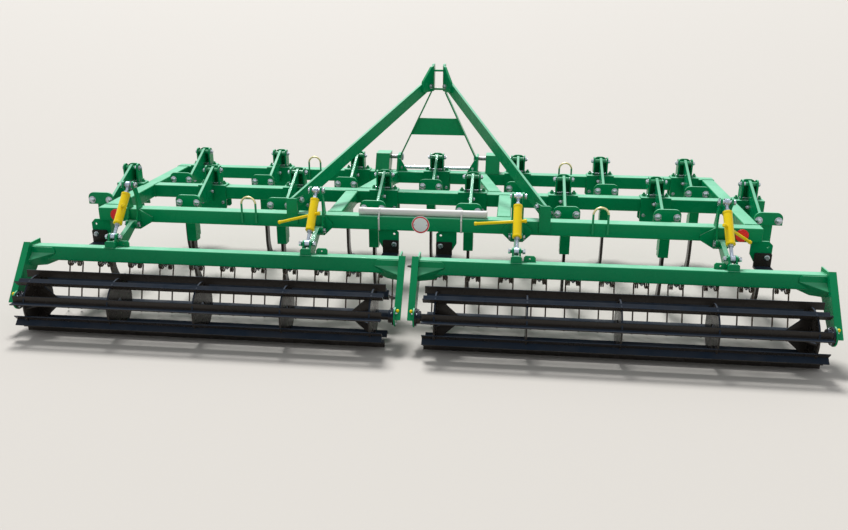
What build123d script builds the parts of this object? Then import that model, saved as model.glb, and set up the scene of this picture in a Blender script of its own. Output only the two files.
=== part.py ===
from build123d import *
import math
import os

os.makedirs("parts", exist_ok=True)

# Mounted field cultivator with spring harrow and two cage rollers.
# X is the machine's right seen from behind, Y is the direction of travel, Z is up, the ground is at 0.
# Lengths are in millimetres. Pieces that come in pairs are drawn on the right and mirrored.

# Tine layout: two rows, the front one between the tracks of the middle one
tine_pitch = 560
middle_tines = 8
front_tines = 7
end_tine_inset = 12  # the outermost tines stand this much inside the even step
middle_row = [(i - (middle_tines - 1) / 2) * tine_pitch for i in range(middle_tines)]
front_row = [(i - (front_tines - 1) / 2) * tine_pitch for i in range(front_tines)]
end_tine_x = middle_row[-1] - end_tine_inset

# Main frame
beam = 80            # side of the square tubes of the frame and of the roller frames
corner = 8           # outer corner radius of the square tubes
half = beam / 2
frame_top = 545      # height of the upper face of the frame
frame_mid = frame_top - half
frame_low = frame_top - beam
rear_y = -290        # centre line of the rear beam
row_spacing = 585    # from one beam's centre line to the next
rear_face = rear_y - half
middle_y = rear_y + row_spacing
front_y = middle_y + row_spacing
front_face = front_y + half
frame_half = end_tine_x - 76   # half the length of the rear and front beams
stub_long = 168                # the stubs that carry the end tines stick out this far
side_rail_x = frame_half - half
centre_rail_x = 485  # the two rails between the rear and middle beams
hitch_rail_in = 300  # the rails before the middle beam close in to this at the front beam
hitch_rail_out = 430
fit = 0.3            # running gap between pieces that touch in use

# Tine units, drawn about a beam whose centre line is the local X axis
clamp_width = 180
clamp_plate = 10
clamp_drop = 66      # the clamp reaches this far below its beam
clamp_chamfer = 22
tower_height = 126
tower_gap = 76
tower_depth = 58
tower_wall = 10
tower_front_high = 116
lever_wall = 16
lever_reach = 395    # from the beam's rear face to the lever's end plate
lever_rim = 6        # the lever's outline lies this far inside the tower's
end_plate_wide = 152
end_plate_high = 72
end_plate_thick = 12
end_plate_top = 44   # the end plate's top above the frame top
end_plate_round = 34
pivot_drop = 26      # the lever's pivot bolt below the tower's top
pivot_bolt = 16
bolt_overhang = 16
nut_wide = 13        # half the width across the nut's corners
spacer_wall = 6
holder_wide = 56
holder_deep = 60
holder_low = 300
cap_deep = 14        # clamp plate on the holder's front, where two bolts pinch the shank
cap_high = 72
cap_above = 18
shank_wide = 16
shank_deep = 50
shank_grip = 40      # the shank goes this far up into the holder
shank_bend = 150     # height where the shank starts to curve forward
shank_lean = 34
sweep_wide = 300
sweep_long = 230
sweep_thick = 7
sweep_rise = 18      # height of the wings' rear edge at the middle
sweep_nose = 150     # the point lies this far before the shank

# Lower hitch
lower_pin_r = 14
lower_pin_z = 625
lower_pin_y = front_y + 95
hitch_gap_in = 284   # the lower links' ball joints go between these two faces
hitch_gap_out = 337
hitch_box_wide = 96
hitch_box_top = 660
hitch_plate_top = 650
hitch_plate_wall = 15
hitch_nose = 42      # boxes and plates reach this far before the pin
hitch_foot = 35      # the nose's lower corner below the pin
pin_overhang = 8
pin_head = 6
brace_tip = 208      # the braces of the inner plates end here on the front beam
brace_top = 632
brace_wall = 10
brace_hole = 9
shaft_r = 12
shaft_y = front_y + 68
shaft_z = 556

# Mast
top_link_r = 12.9    # hole for the top link's 25.4 mm pin
mast_height = 610    # from the lower pins to the top link's hole
top_link_z = lower_pin_z + mast_height
top_link_y = front_y + 100
head_gap = 60
head_wall = 15
head_low = 1095
head_crown = 36      # the head's top above the hole
head_front = 34
bend_y = front_y + 45
wing_long = 126
wing_top = 1166
wing_round = 18
spacer_r = 7
spacer_places = ((bend_y + 8, 1231), (bend_y + 12, 1107))
leg_wall = 10
leg_rear = front_y + 25
leg_front = front_y + 80
leg_top = 1190
leg_knee = 1085
leg_foot_top = 640
leg_foot_low = 560
cross_low = 795
cross_top = 910
cross_y = front_y + 36
cross_wall = 10
strut_x = tine_pitch + 151
strut_wide = 15      # the struts are flat bars on edge
strut_high = 78
strut_fall = 21.5    # slope of the struts in degrees
strut_foot_z = frame_top + 51
bracket_wide = 62
bracket_low = frame_top - 60
bracket_high = 151
bracket_wall = 10
cheek_long = 80      # the bracket's cheek beside the strut
cheek_foot = 34
cheek_rise = 42

# Fittings of the rear beam
eye_wire = 6
eye_wide = 82
eye_straight = 50
eye_hold = 60
rear_eyes = (-965, 1012)    # places of the two eyes along the beam
front_eyes = (-862, 882)
reflector_r = 34
reflector_x = side_rail_x - 68
reflector_thick = 8
sign_r = 50
sign_x = 22
sign_thick = 2
tube_r = 20
tube_start = -331
tube_long = 721

# Harrow
harrow_y = rear_face - 190
harrow_z = 300
harrow_bar = 30
harrow_in = 90
harrow_out = frame_half + 138
harrow_pitch = 180
harrow_pairs = 11
leg_gap = 88
leg_trail = 90
leg_low = 4
wire_r = 5
coil_r = 24
coil_wide = 30
hanger_places = (165, frame_half + 15)
hanger_wide = 116
hanger_bevel = 22        # at the upper outer corner
hanger_low = frame_top - 200
hanger_cut_wide = 26
hanger_cut_high = 45
hanger_wall = 10
hanger_hole = 7
hanger_hole_in = 26
hanger_hole_down = 30
harrow_arm_wide = 92
harrow_arm_wall = 10
harrow_arm_lap = 54       # the arm's upright leg covers this much of the hanger

# Roller frames, one each side, tipped forward a little as they stand
roller_tilt = 6
roller_beam_back = 296    # from the rear beam's rear face to the roller beam's centre line
roller_beam_y = rear_face - roller_beam_back
roller_beam_z = 365
roller_beam_in = 53       # the roller frame's side arms stand here and at roller_beam_out
roller_beam_out = frame_half + 233
arm_wall = 8
arm_flange = 36
arm_front = 6             # the side arm reaches this far before the beam
arm_tip = 26              # and its front tip this far above it
arm_hub = 52
arm_back = 10             # its rear top corner lies this far behind the beam
arm_rise = 18             # and this far above it
arm_behind = 38           # its rear lower corner lies this far behind the axle
arm_drop = 5              # and this far below it
roller_back = 520         # from the rear beam's rear face to the roller's axle
roller_y = rear_face - roller_back
roller_bars = 8
bar_seat = 132            # the bars' corners lie on this radius, their legs point outward
bar_leg = 34
bar_wall = 5
bar_lean = 30             # each bar is turned this far from the radial direction
first_bar = 29            # direction of the first bar, from the front upward
leg_ends = [
    bar_seat * math.sin(math.radians(first_bar + i * 360 / roller_bars))
    + bar_leg * math.sin(math.radians(first_bar + i * 360 / roller_bars - bar_lean + turn))
    for i in range(roller_bars)
    for turn in (-45, 45)
]
roller_z = -min(leg_ends)     # the lowest leg stands on the ground
disc_r = 140
disc_wall = 8
disc_hole = 34
discs = 5
disc_end = 110            # from the side arm's plate to the end disc
cage_end = 48             # from the side arm's plate to the ends of the bars
rib_long = 110            # ribs between the end discs and the stub axles
rib_wall = 8
stub_r = 20
bearing_r = 46
bearing_long = 30
bearing_step = 10
bearing_neck = 34
corner_long = 132         # corner plates between the beam's rear face and the side arms
corner_deep = 66
corner_thick = 6
corner_up = 34
corner_down = 32
corner_step = 18
corner_lip = 14

# Linkage between the rear beam and each roller frame
ear_gap = 46
ear_wall = 10
foot_wall = 10
foot_up = 34
foot_down = 38
horn_front = 48           # the ear's front edge meets the beam's top this far before the rear face
horn_r = 22
eye_lobe = 24
upper_pin_y = rear_face - 30
upper_pin_z = frame_top + 148
pivot_y = rear_face - 34
pivot_z = frame_top - 82
lug_pin_back = 270        # from the rear beam's rear face to the pins of the lower eyes
lug_pin_y = rear_face - lug_pin_back
lug_pin_z = frame_top - 89
link_pin_r = 10
pin_end = 12
link_arm_wide = 24
link_boss_r = 23
link_boss_wide = 42
lug_wall = 10
lug_wide = 58
lug_plate_high = 36
brace_plate_wide = 62
brace_plate_high = 32
brace_plate_wall = 10
eye_r = 20
eye_thick = 24
drift = 4.5               # play of the lower eye on its pin
barrel_r = 20
collar_r = 22
collar_long = 12
barrel_start = 58         # from the upper pin to the barrel's end
barrel_long = 198
rod_r = 9
rod_grip = 60
jam_nut = 15
jam_nut_long = 12
handle_r = 6.5
knob_r = 9
knob_long = 14

# Turnbuckles: place along X, width of the foot plate to the left and to the right,
# where its brace plate stands on the roller beam, direction of the handle in degrees, its two ends
far_x = frame_half - 217
near_x = tine_pitch
turnbuckles = (
    ("far_left", -far_x, 36, 110, 55, -120, 90, 28),
    ("near_left", -near_x, 80, 80, 78, 205, 215, 30),
    ("near_right", near_x, 80, 80, 71, 190, 215, 30),
    ("far_right", far_x, 110, 36, -55, -45, 190, 30),
)


def save(part, label):
    """Gives the part its name and writes its file."""
    part.label = label
    export_step(part, f"parts/{label}.step")


def mirrored(part):
    """The part and its mirror image in the plane X = 0, as separate solids."""
    return Compound(children=part.solids() + mirror(part, about=Plane.YZ).solids())


def copies(part, places):
    """Copies of a part moved to each place, as separate solids."""
    return Compound(children=[Pos(*place) * solid for place in places for solid in part.solids()])


def outline(*points):
    """Fills the closed outline through the points in the open sketch."""
    corners = [tuple(point)[:2] for point in points]
    make_face(Wire.make_polygon(corners, close=True).edges())


def across(x, y, z):
    """Drawing plane across the machine's width at x: its own axes point forward and up from y, z."""
    return Plane(origin=(x, y, z), x_dir=(0, 1, 0), z_dir=(1, 0, 0))


def from_behind(y):
    """Drawing plane at y, seen from behind: its axes point right and up, extrusion goes rearward."""
    return Plane(origin=(0, y, 0), x_dir=(1, 0, 0), z_dir=(0, -1, 0))


def cross_beam(x, y, length):
    """A square tube of the frame along X with rounded corners, centred on x, y."""
    with BuildPart() as bar:
        with BuildSketch(across(x - length / 2, y, frame_mid)):
            RectangleRounded(beam, beam, corner)
        extrude(amount=length)
    return bar.part


def long_rail(x, start, length):
    """A square tube of the frame along Y, from start."""
    with BuildPart() as bar:
        with BuildSketch(Plane(origin=(x, start, frame_mid), x_dir=(-1, 0, 0), z_dir=(0, 1, 0))):
            RectangleRounded(beam, beam, corner)
        extrude(amount=length)
    return bar.part


def round_bar(x, y, z, radius, length):
    """A round bar along X that starts at x."""
    with BuildPart() as bar:
        with BuildSketch(across(x, y, z)):
            Circle(radius)
        extrude(amount=length)
    return bar.part


# Frame: three cross beams, side rails with the stubs that carry the end tines, and the rails between
side_rail_long = front_y - rear_y - beam
save(cross_beam(0, rear_y, 2 * frame_half), "rear_beam")
save(cross_beam(0, front_y, 2 * frame_half), "front_beam")
save(cross_beam(0, middle_y, 2 * (side_rail_x - half)), "middle_beam")
save(mirrored(long_rail(side_rail_x, rear_y + half, side_rail_long)), "side_rails")
save(mirrored(cross_beam(frame_half + stub_long / 2, middle_y, stub_long)), "beam_stubs")
save(mirrored(long_rail(centre_rail_x, rear_y + half, row_spacing - beam)), "centre_rails")
with BuildPart() as hitch_rail:
    rail_start = Vector(hitch_rail_out, middle_y, frame_mid)
    rail_run = Vector(hitch_rail_in, front_y, frame_mid) - rail_start
    with BuildSketch(Plane(origin=rail_start, x_dir=(0, 0, 1), z_dir=rail_run)):
        RectangleRounded(beam, beam, corner)
    extrude(amount=rail_run.length)
    split(bisect_by=Plane.XZ.offset(-(middle_y + half)), keep=Keep.BOTTOM)
    split(bisect_by=Plane.XZ.offset(-(front_y - half)), keep=Keep.TOP)
save(mirrored(hitch_rail.part), "hitch_rails")

# Tine clamp: two plates beside the beam, a flange on it, and a tower of two round-headed cheeks
tower_top = half + tower_height
lever_pivot_z = tower_top - pivot_drop
clamp_high = beam + clamp_drop
with BuildPart() as clamp:
    for plane in (from_behind(-half), from_behind(half + clamp_plate)):
        with BuildSketch(plane):
            with Locations((0, half - clamp_high / 2)):
                Rectangle(clamp_width, clamp_high)
                chamfer(vertices().group_by(Axis.Y)[0], clamp_plate)
        extrude(amount=clamp_plate)
    with BuildSketch(Plane.XY.offset(half)):
        Rectangle(clamp_width, beam + 2 * clamp_plate)
        chamfer(vertices().group_by(Axis.Y)[-1], clamp_chamfer)
    extrude(amount=clamp_plate)
    with BuildSketch(across(tower_gap / 2, 0, 0)):
        with Locations((0, half + clamp_plate)):
            Rectangle(tower_depth, lever_pivot_z - half - clamp_plate, align=(Align.CENTER, Align.MIN))
        with Locations((0, lever_pivot_z)):
            Circle(tower_depth / 2)
            Circle(pivot_bolt / 2, mode=Mode.SUBTRACT)
    extrude(amount=tower_wall)
    mirror(about=Plane.YZ)
    # a front wall closes the tower
    with BuildSketch(from_behind(tower_depth / 2 + tower_wall)):
        with Locations((0, half + clamp_plate)):
            Rectangle(tower_gap + 2 * tower_wall, tower_front_high, align=(Align.CENTER, Align.MIN))
            fillet(vertices().group_by(Axis.Y)[-1], tower_gap / 2)
    extrude(amount=tower_wall)

# On the beam stubs the clamp's side plates stop short of the side rail
with BuildPart() as stub_clamp:
    add(clamp.part)
    with BuildSketch(Plane.XY.offset(half)):
        with Locations((frame_half - end_tine_x + fit, 0)):
            Rectangle(clamp_width, 2 * beam, align=(Align.MAX, Align.CENTER))
    extrude(amount=-2 * beam, mode=Mode.SUBTRACT)

# Pivot bolt of the tower, with its nuts and the spacer tubes that centre the lever
cheek_face = tower_gap / 2 + tower_wall
bolt_end = cheek_face + bolt_overhang
with BuildPart() as tower_bolt:
    add(round_bar(-bolt_end, 0, lever_pivot_z, pivot_bolt / 2, 2 * bolt_end))
    with BuildSketch(across(cheek_face, 0, lever_pivot_z)):
        RegularPolygon(nut_wide, 6)
    extrude(amount=nut_wide)
    with BuildSketch(across(lever_wall / 2, 0, lever_pivot_z)):
        Circle(pivot_bolt / 2 + spacer_wall)
    extrude(amount=(tower_gap - lever_wall) / 2)
    mirror(about=Plane.YZ)

# Lever: a tall triangular plate from the tower back to a round-shouldered cross plate that holds the tine
end_y = -half - lever_reach
end_top_z = half + end_plate_top
end_low_z = end_top_z - end_plate_high
lever_front = tower_depth / 2 - lever_rim
lever_step = half + clamp_plate + 14
lever_back = -half - clamp_plate - fit
with BuildPart() as lever:
    with BuildSketch(across(-lever_wall / 2, 0, 0)):
        outline(
            (lever_front, lever_pivot_z),
            (lever_front, lever_step),
            (lever_back, lever_step),
            (lever_back, -half - lever_rim),
            (lever_back - 34, -half - lever_rim),
            (end_y + holder_deep + 3, end_low_z),
            (end_y, end_low_z),
            (end_y, end_top_z - lever_rim),
            (-lever_front, lever_pivot_z + 2 * lever_rim),
        )
        with Locations((0, lever_pivot_z)):
            Circle(lever_front)
            Circle(pivot_bolt / 2, mode=Mode.SUBTRACT)
    extrude(amount=lever_wall)
    with BuildSketch(from_behind(end_y)):
        with Locations((0, end_low_z)):
            Rectangle(end_plate_wide, end_plate_high, align=(Align.CENTER, Align.MIN))
            fillet(vertices().group_by(Axis.Y)[-1], end_plate_round)
    extrude(amount=end_plate_thick)

# Holder: a square sleeve below the lever with a clamp plate on its front, and the shank that it grips
holder_foot = holder_low - frame_mid
shank_y = end_y + holder_deep / 2
with BuildPart() as holder:
    with BuildSketch(Plane.XY.offset(holder_foot)):
        with Locations((0, shank_y)):
            Rectangle(holder_wide, holder_deep)
            Rectangle(shank_wide, shank_deep, mode=Mode.SUBTRACT)
    extrude(amount=end_low_z - fit - holder_foot)
    with BuildSketch(from_behind(end_y + holder_deep + cap_deep)):
        with Locations((0, holder_foot + cap_above)):
            Rectangle(holder_wide, cap_high, align=(Align.CENTER, Align.MIN))
            fillet(vertices(), 10)
    extrude(amount=cap_deep)

ground = -frame_mid
shank_back = shank_y - shank_deep / 2
shank_front = shank_y + shank_deep / 2
toe_front = (shank_front + shank_lean + 5, ground + 30)
toe_back = (shank_back + 20, ground + 34)
with BuildPart() as shank:
    with BuildSketch(across(-shank_wide / 2, 0, 0)):
        with BuildLine():
            Line((shank_back, end_low_z - shank_grip), (shank_front, end_low_z - shank_grip))
            front_edge = Line((shank_front, end_low_z - shank_grip), (shank_front, ground + shank_bend))
            TangentArc(front_edge @ 1, toe_front, tangent=front_edge % 1)
            Line(toe_front, toe_back)
            back_edge = Line((shank_back, end_low_z - shank_grip), (shank_back, ground + shank_bend))
            TangentArc(back_edge @ 1, toe_back, tangent=back_edge % 1)
        make_face()
    extrude(amount=shank_wide)

# Sweep: two wings that fall away from a raised middle to their cutting edges, on a neck under the shank
nose_y = shank_y + sweep_nose
tip = Vector(sweep_wide / 2, nose_y - sweep_long, ground)
nose = Vector(0, nose_y, ground)
crest = Vector(0, nose_y - sweep_long / 2, ground + sweep_rise)
wing_normal = (tip - nose).cross(crest - nose).normalized()
if wing_normal.Z < 0:
    wing_normal = wing_normal * -1
with BuildPart() as sweep_blade:
    with BuildSketch(Plane.XY.offset(ground)):
        outline(
            (0, nose_y),
            (sweep_wide / 2, nose_y - sweep_long),
            (sweep_wide / 2 - 34, nose_y - sweep_long - 16),
            (0, nose_y - sweep_long / 2),
        )
    extrude(amount=2 * sweep_rise)
    split(bisect_by=Plane(origin=nose + wing_normal * sweep_thick, z_dir=wing_normal), keep=Keep.BOTTOM)
    split(bisect_by=Plane(origin=nose, z_dir=wing_normal), keep=Keep.TOP)
    mirror(about=Plane.YZ)
    with BuildSketch(across(-holder_wide / 4, 0, 0)):
        outline(
            (nose_y - 40, ground + 12),
            toe_front,
            toe_back,
            (toe_back[0] + 8, ground + 18),
            (nose_y - 96, ground + 12),
        )
    extrude(amount=holder_wide / 2)

inner_places = [(x, middle_y, frame_mid) for x in middle_row[1:-1]]
inner_places += [(x, front_y, frame_mid) for x in front_row]
end_places = [(x, middle_y, frame_mid) for x in (-end_tine_x, end_tine_x)]
end_clamps = mirrored(Pos(*end_places[1]) * stub_clamp.part).solids()
save(Compound(children=copies(clamp.part, inner_places).solids() + end_clamps), "tine_clamps")
for label, piece in (
    ("tine_pivot_bolts", tower_bolt),
    ("tine_levers", lever),
    ("tine_holders", holder),
    ("tine_shanks", shank),
    ("tine_sweeps", sweep_blade),
):
    save(copies(piece.part, inner_places + end_places), label)


def hitch_side(x, wall, rear, top):
    """Side plate or box of the lower hitch from x; its sloping back goes from rear up to height top."""
    nose_front = lower_pin_y + hitch_nose
    with BuildPart() as piece:
        with BuildSketch(across(x, 0, 0)):
            outline(
                (rear, frame_top),
                (front_y + 25, top),
                (nose_front, top),
                (nose_front, lower_pin_z - hitch_foot),
                (front_face, frame_low + 10),
                (front_face, frame_top),
            )
            with Locations((lower_pin_y, lower_pin_z)):
                Circle(lower_pin_r, mode=Mode.SUBTRACT)
        extrude(amount=wall)
    return piece.part


# Lower hitch: a sloping box and an inner plate on the front beam each side, with the pin between them
hitch_plate_x = hitch_gap_in - hitch_plate_wall
with BuildPart() as hitch_plate:
    add(hitch_side(hitch_plate_x, hitch_plate_wall, front_y - half + 6, hitch_plate_top))
    with BuildSketch(from_behind(front_y)):
        outline((hitch_plate_x, frame_top), (brace_tip, frame_top), (hitch_plate_x - leg_wall, brace_top),
                (hitch_plate_x, brace_top))
        with Locations((hitch_plate_x - 22, frame_top + 26)):
            Circle(brace_hole, mode=Mode.SUBTRACT)
    extrude(amount=brace_wall)
with BuildPart() as hitch_pin:
    pin_start = hitch_plate_x - pin_overhang
    box_outside = hitch_gap_out + hitch_box_wide
    add(round_bar(pin_start, lower_pin_y, lower_pin_z, lower_pin_r, box_outside + pin_overhang - pin_start))
    add(round_bar(box_outside, lower_pin_y, lower_pin_z, lower_pin_r + pin_head, pin_overhang))
save(mirrored(hitch_side(hitch_gap_out, hitch_box_wide, front_y - half, hitch_box_top)), "hitch_boxes")
save(mirrored(hitch_plate.part), "hitch_plates")
save(mirrored(hitch_pin.part), "hitch_pins")
save(round_bar(-hitch_plate_x, shaft_y, shaft_z, shaft_r, 2 * hitch_plate_x), "hitch_shaft")

# Mast head: two plates with the top link's hole, bent outward behind it to lie along the struts
head_face = head_gap / 2 + head_wall
foot_in = strut_x - head_face
foot_back = bend_y - rear_face
strut_reach = math.hypot(foot_in, foot_back)
splay = math.acos(strut_wide / 2 / strut_reach) - math.atan2(foot_back, foot_in)
wing_dir = Vector(math.sin(splay), -math.cos(splay), 0)
wing_out = Vector(math.cos(splay), math.sin(splay), 0)
head_top = top_link_z + head_crown
with BuildPart() as head_plate:
    with BuildSketch(across(head_gap / 2, 0, 0)):
        outline(
            (bend_y, head_low),
            (top_link_y + 10, head_low),
            (top_link_y + head_front, top_link_z),
            (top_link_y + 20, head_top),
            (bend_y + 12, head_top),
            (bend_y, head_top - 8),
        )
        fillet(vertices().group_by(Axis.X)[-1], 14)
        with Locations((top_link_y, top_link_z)):
            Circle(top_link_r, mode=Mode.SUBTRACT)
    extrude(amount=head_wall)
    with BuildSketch(Plane(origin=(head_face, bend_y, 0), x_dir=wing_dir, z_dir=wing_out * -1)):
        outline(
            (-2, head_low),
            (-2, head_top - 8),
            (24, head_top - 14),
            (wing_long, wing_top),
            (wing_long, head_low),
        )
        fillet(vertices().group_by(Axis.X)[-1], wing_round)
    extrude(amount=head_wall)
save(mirrored(head_plate.part), "mast_head")
spacers = [round_bar(-head_gap / 2, y, z, spacer_r, head_gap) for y, z in spacer_places]
save(Compound(children=[solid for bar in spacers for solid in bar.solids()]), "mast_spacers")

# Mast legs: thin plates bent below the head, down to the inner hitch plates, with a cross plate between
foot_x = hitch_plate_x - leg_wall
with BuildPart() as mast_leg:
    with BuildSketch(from_behind(leg_front)):
        outline(
            (head_face, leg_top),
            (head_face, leg_knee),
            (foot_x, leg_foot_top),
            (foot_x, leg_foot_low),
            (hitch_plate_x, leg_foot_low),
            (hitch_plate_x, leg_foot_top),
            (head_face + leg_wall, leg_knee),
            (head_face + leg_wall, leg_top),
        )
    extrude(amount=leg_front - leg_rear)
    # above the knee the leg lies only on the flat part of the head
    with BuildSketch(across(0, 0, 0)):
        with Locations((bend_y + 2, leg_knee)):
            Rectangle(beam, beam + leg_top - leg_knee, align=(Align.MAX, Align.MIN))
    extrude(amount=hitch_plate_x, mode=Mode.SUBTRACT)
    # the shaft between the hitch plates passes through the leg's foot
    add(round_bar(0, shaft_y, shaft_z, shaft_r, hitch_plate_x), mode=Mode.SUBTRACT)
save(mirrored(mast_leg.part), "mast_legs")


def leg_x(z):
    """Inner face of the mast leg at height z."""
    return foot_x + (head_face - foot_x) * (z - leg_foot_top) / (leg_knee - leg_foot_top)


with BuildPart() as cross_plate:
    with BuildSketch(from_behind(cross_y)):
        low, top = leg_x(cross_low), leg_x(cross_top)
        outline((-low, cross_low), (low, cross_low), (top, cross_top), (-top, cross_top))
    extrude(amount=-cross_wall)
save(cross_plate.part, "mast_cross_plate")

# Struts: flat bars on edge from the rear beam's brackets up to the outside of the mast head's wings
strut_foot = Vector(strut_x, rear_face, strut_foot_z)
strut_run = Vector(-wing_dir.X, -wing_dir.Y, math.tan(math.radians(strut_fall)))
with BuildPart() as strut:
    start = strut_foot - strut_run * 2 * strut_high
    with BuildSketch(Plane(origin=start, x_dir=wing_out, z_dir=strut_run)):
        Rectangle(strut_wide, strut_high)
    extrude(amount=strut_run.length * (strut_reach + 2 * strut_high))
    split(bisect_by=Plane.XZ.offset(-rear_face), keep=Keep.BOTTOM)
    split(bisect_by=Plane.XZ.offset(-(bend_y - 20)), keep=Keep.TOP)
save(mirrored(strut.part), "mast_struts")
with BuildPart() as strut_bracket:
    with BuildSketch(from_behind(rear_face)):
        with Locations((strut_x, bracket_low)):
            Rectangle(bracket_wide, bracket_high, align=(Align.CENTER, Align.MIN))
            chamfer(vertices().group_by(Axis.Y)[-1], 8)
    extrude(amount=bracket_wall)
    # a cheek on the beam's top lies against the strut's inner side
    cheek_top = bracket_low + bracket_high - frame_top
    cheek_plane = Plane(origin=(strut_x, rear_face, frame_top), x_dir=wing_dir * -1, z_dir=wing_out)
    with BuildSketch(cheek_plane.offset(-strut_wide / 2)):
        outline(
            (-cheek_foot, 0),
            (cheek_foot, 0),
            (cheek_foot + 8, cheek_rise),
            (cheek_long, cheek_rise + 14),
            (cheek_long, cheek_top),
            (-cheek_foot, cheek_top - 6),
        )
    extrude(amount=-bracket_wall)
    split(bisect_by=Plane.XZ.offset(-(rear_face - bracket_wall)), keep=Keep.BOTTOM)
save(mirrored(strut_bracket.part), "strut_brackets")

# Lifting eyes, reflectors, the blank sign and the document tube
with BuildPart() as eye:
    with BuildLine() as eye_path:
        low, top = frame_top - eye_hold, frame_top + eye_straight
        Line((-eye_wide / 2, 0, low), (-eye_wide / 2, 0, top))
        ThreePointArc((-eye_wide / 2, 0, top), (0, 0, top + eye_wide / 2), (eye_wide / 2, 0, top))
        Line((eye_wide / 2, 0, top), (eye_wide / 2, 0, low))
    with BuildSketch(Plane(origin=(-eye_wide / 2, 0, low), z_dir=(0, 0, 1))):
        Circle(eye_wire)
    sweep(path=eye_path.line)
eye_places = [(x, rear_face - eye_wire, 0) for x in rear_eyes]
eye_places += [(x, front_y - half - eye_wire, 0) for x in front_eyes]
save(copies(eye.part, eye_places), "lifting_eyes")
with BuildPart() as reflector:
    with BuildSketch(from_behind(rear_face)):
        with Locations((reflector_x, frame_mid)):
            Circle(reflector_r)
    extrude(amount=reflector_thick)
save(mirrored(reflector.part), "reflectors")
with BuildPart() as sign:
    with BuildSketch(from_behind(rear_face)):
        with Locations((sign_x, frame_mid)):
            Circle(sign_r)
    extrude(amount=sign_thick)
save(sign.part, "sign_plate")
save(round_bar(tube_start, rear_y, frame_top + tube_r, tube_r, tube_long), "document_tube")

# Harrow: hangers below the rear beam, arms back to a bar for each side, spring tines on the bar
hanger_back = rear_y - 5
hanger_side = hanger_wide / 2
with BuildPart() as hanger:
    with BuildSketch(from_behind(hanger_back + hanger_wall)):
        outline(
            (-hanger_side, frame_low),
            (hanger_side - hanger_bevel, frame_low),
            (hanger_side, frame_low - hanger_bevel),
            (hanger_side, hanger_low),
            (-hanger_side + hanger_cut_wide, hanger_low),
            (-hanger_side, hanger_low + hanger_cut_high),
        )
        with Locations((hanger_side - hanger_hole_in, frame_low - hanger_hole_down)):
            Circle(hanger_hole, mode=Mode.SUBTRACT)
    extrude(amount=hanger_wall)
bar_top = harrow_z + harrow_bar / 2
arm_start = hanger_back - fit
with BuildPart() as harrow_arm:
    with BuildSketch(across(hanger_side - harrow_arm_wide, 0, 0)):
        outline(
            (arm_start, hanger_low + harrow_arm_lap),
            (arm_start - harrow_arm_wall, hanger_low + harrow_arm_lap),
            (arm_start - harrow_arm_wall, bar_top + harrow_arm_wall),
            (harrow_y - harrow_bar / 2, bar_top + harrow_arm_wall),
            (harrow_y - harrow_bar / 2, bar_top),
            (arm_start, bar_top),
        )
    extrude(amount=harrow_arm_wide)
    fillet(edges().filter_by(Axis.Y).group_by(Axis.Z)[-1], 8)
inner_x, outer_x = hanger_places
for piece, label in ((hanger.part, "harrow_hangers"), (harrow_arm.part, "harrow_arms")):
    flipped = mirror(piece, about=Plane.YZ)
    one_side = (Pos(inner_x, 0, 0) * flipped).solids() + (Pos(outer_x, 0, 0) * piece).solids()
    save(mirrored(Compound(children=one_side)), label)
with BuildPart() as harrow_rail:
    with BuildSketch(across(harrow_in, harrow_y, harrow_z)):
        RectangleRounded(harrow_bar, harrow_bar, 3)
    extrude(amount=harrow_out - harrow_in)
save(mirrored(harrow_rail.part), "harrow_bars")

# A double spring tine: two coils under the bar, a leg down and back from each, a bridge between them
coil_z = harrow_z - harrow_bar / 2 - coil_r
leg_x_in = leg_gap / 2 - wire_r
with BuildPart() as spring_tine:
    add(round_bar(leg_gap / 2 - coil_wide, harrow_y, coil_z, coil_r, coil_wide))
    leg_start = Vector(leg_x_in, harrow_y + coil_r - wire_r, coil_z)
    leg_end = Vector(leg_x_in, harrow_y + coil_r - wire_r - leg_trail, leg_low + wire_r)
    with BuildSketch(Plane(origin=leg_start, z_dir=leg_end - leg_start)):
        Circle(wire_r)
    extrude(amount=(leg_end - leg_start).length)
    mirror(about=Plane.YZ)
    add(round_bar(coil_wide - leg_gap / 2, harrow_y, coil_z, wire_r, leg_gap - 2 * coil_wide))
first_tine = (harrow_in + harrow_out - harrow_pitch * (harrow_pairs - 1)) / 2
spring_places = [(first_tine + i * harrow_pitch, 0, 0) for i in range(harrow_pairs)]
save(mirrored(copies(spring_tine.part, spring_places)), "harrow_tines")


def lies_in_frame(x):
    """Drawing plane across the roller beam at x: forward, then up, tipped with the roller frame."""
    tip = math.radians(roller_tilt)
    forward = (0, math.cos(tip), -math.sin(tip))
    return Plane(origin=(x, roller_beam_y, roller_beam_z), x_dir=forward, z_dir=(1, 0, 0))


def behind_frame(y):
    """Drawing plane at y in the roller frame, seen from behind; extrusion goes rearward."""
    plane = lies_in_frame(0)
    return Plane(origin=plane.from_local_coords((y, 0, 0)), x_dir=(1, 0, 0), z_dir=plane.x_dir * -1)


def in_frame(y, z):
    """Coordinates of the point y, z in the roller frame's drawing plane."""
    tip = math.radians(roller_tilt)
    dy, dz = y - roller_beam_y, z - roller_beam_z
    return (dy * math.cos(tip) - dz * math.sin(tip), dy * math.sin(tip) + dz * math.cos(tip))


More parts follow.
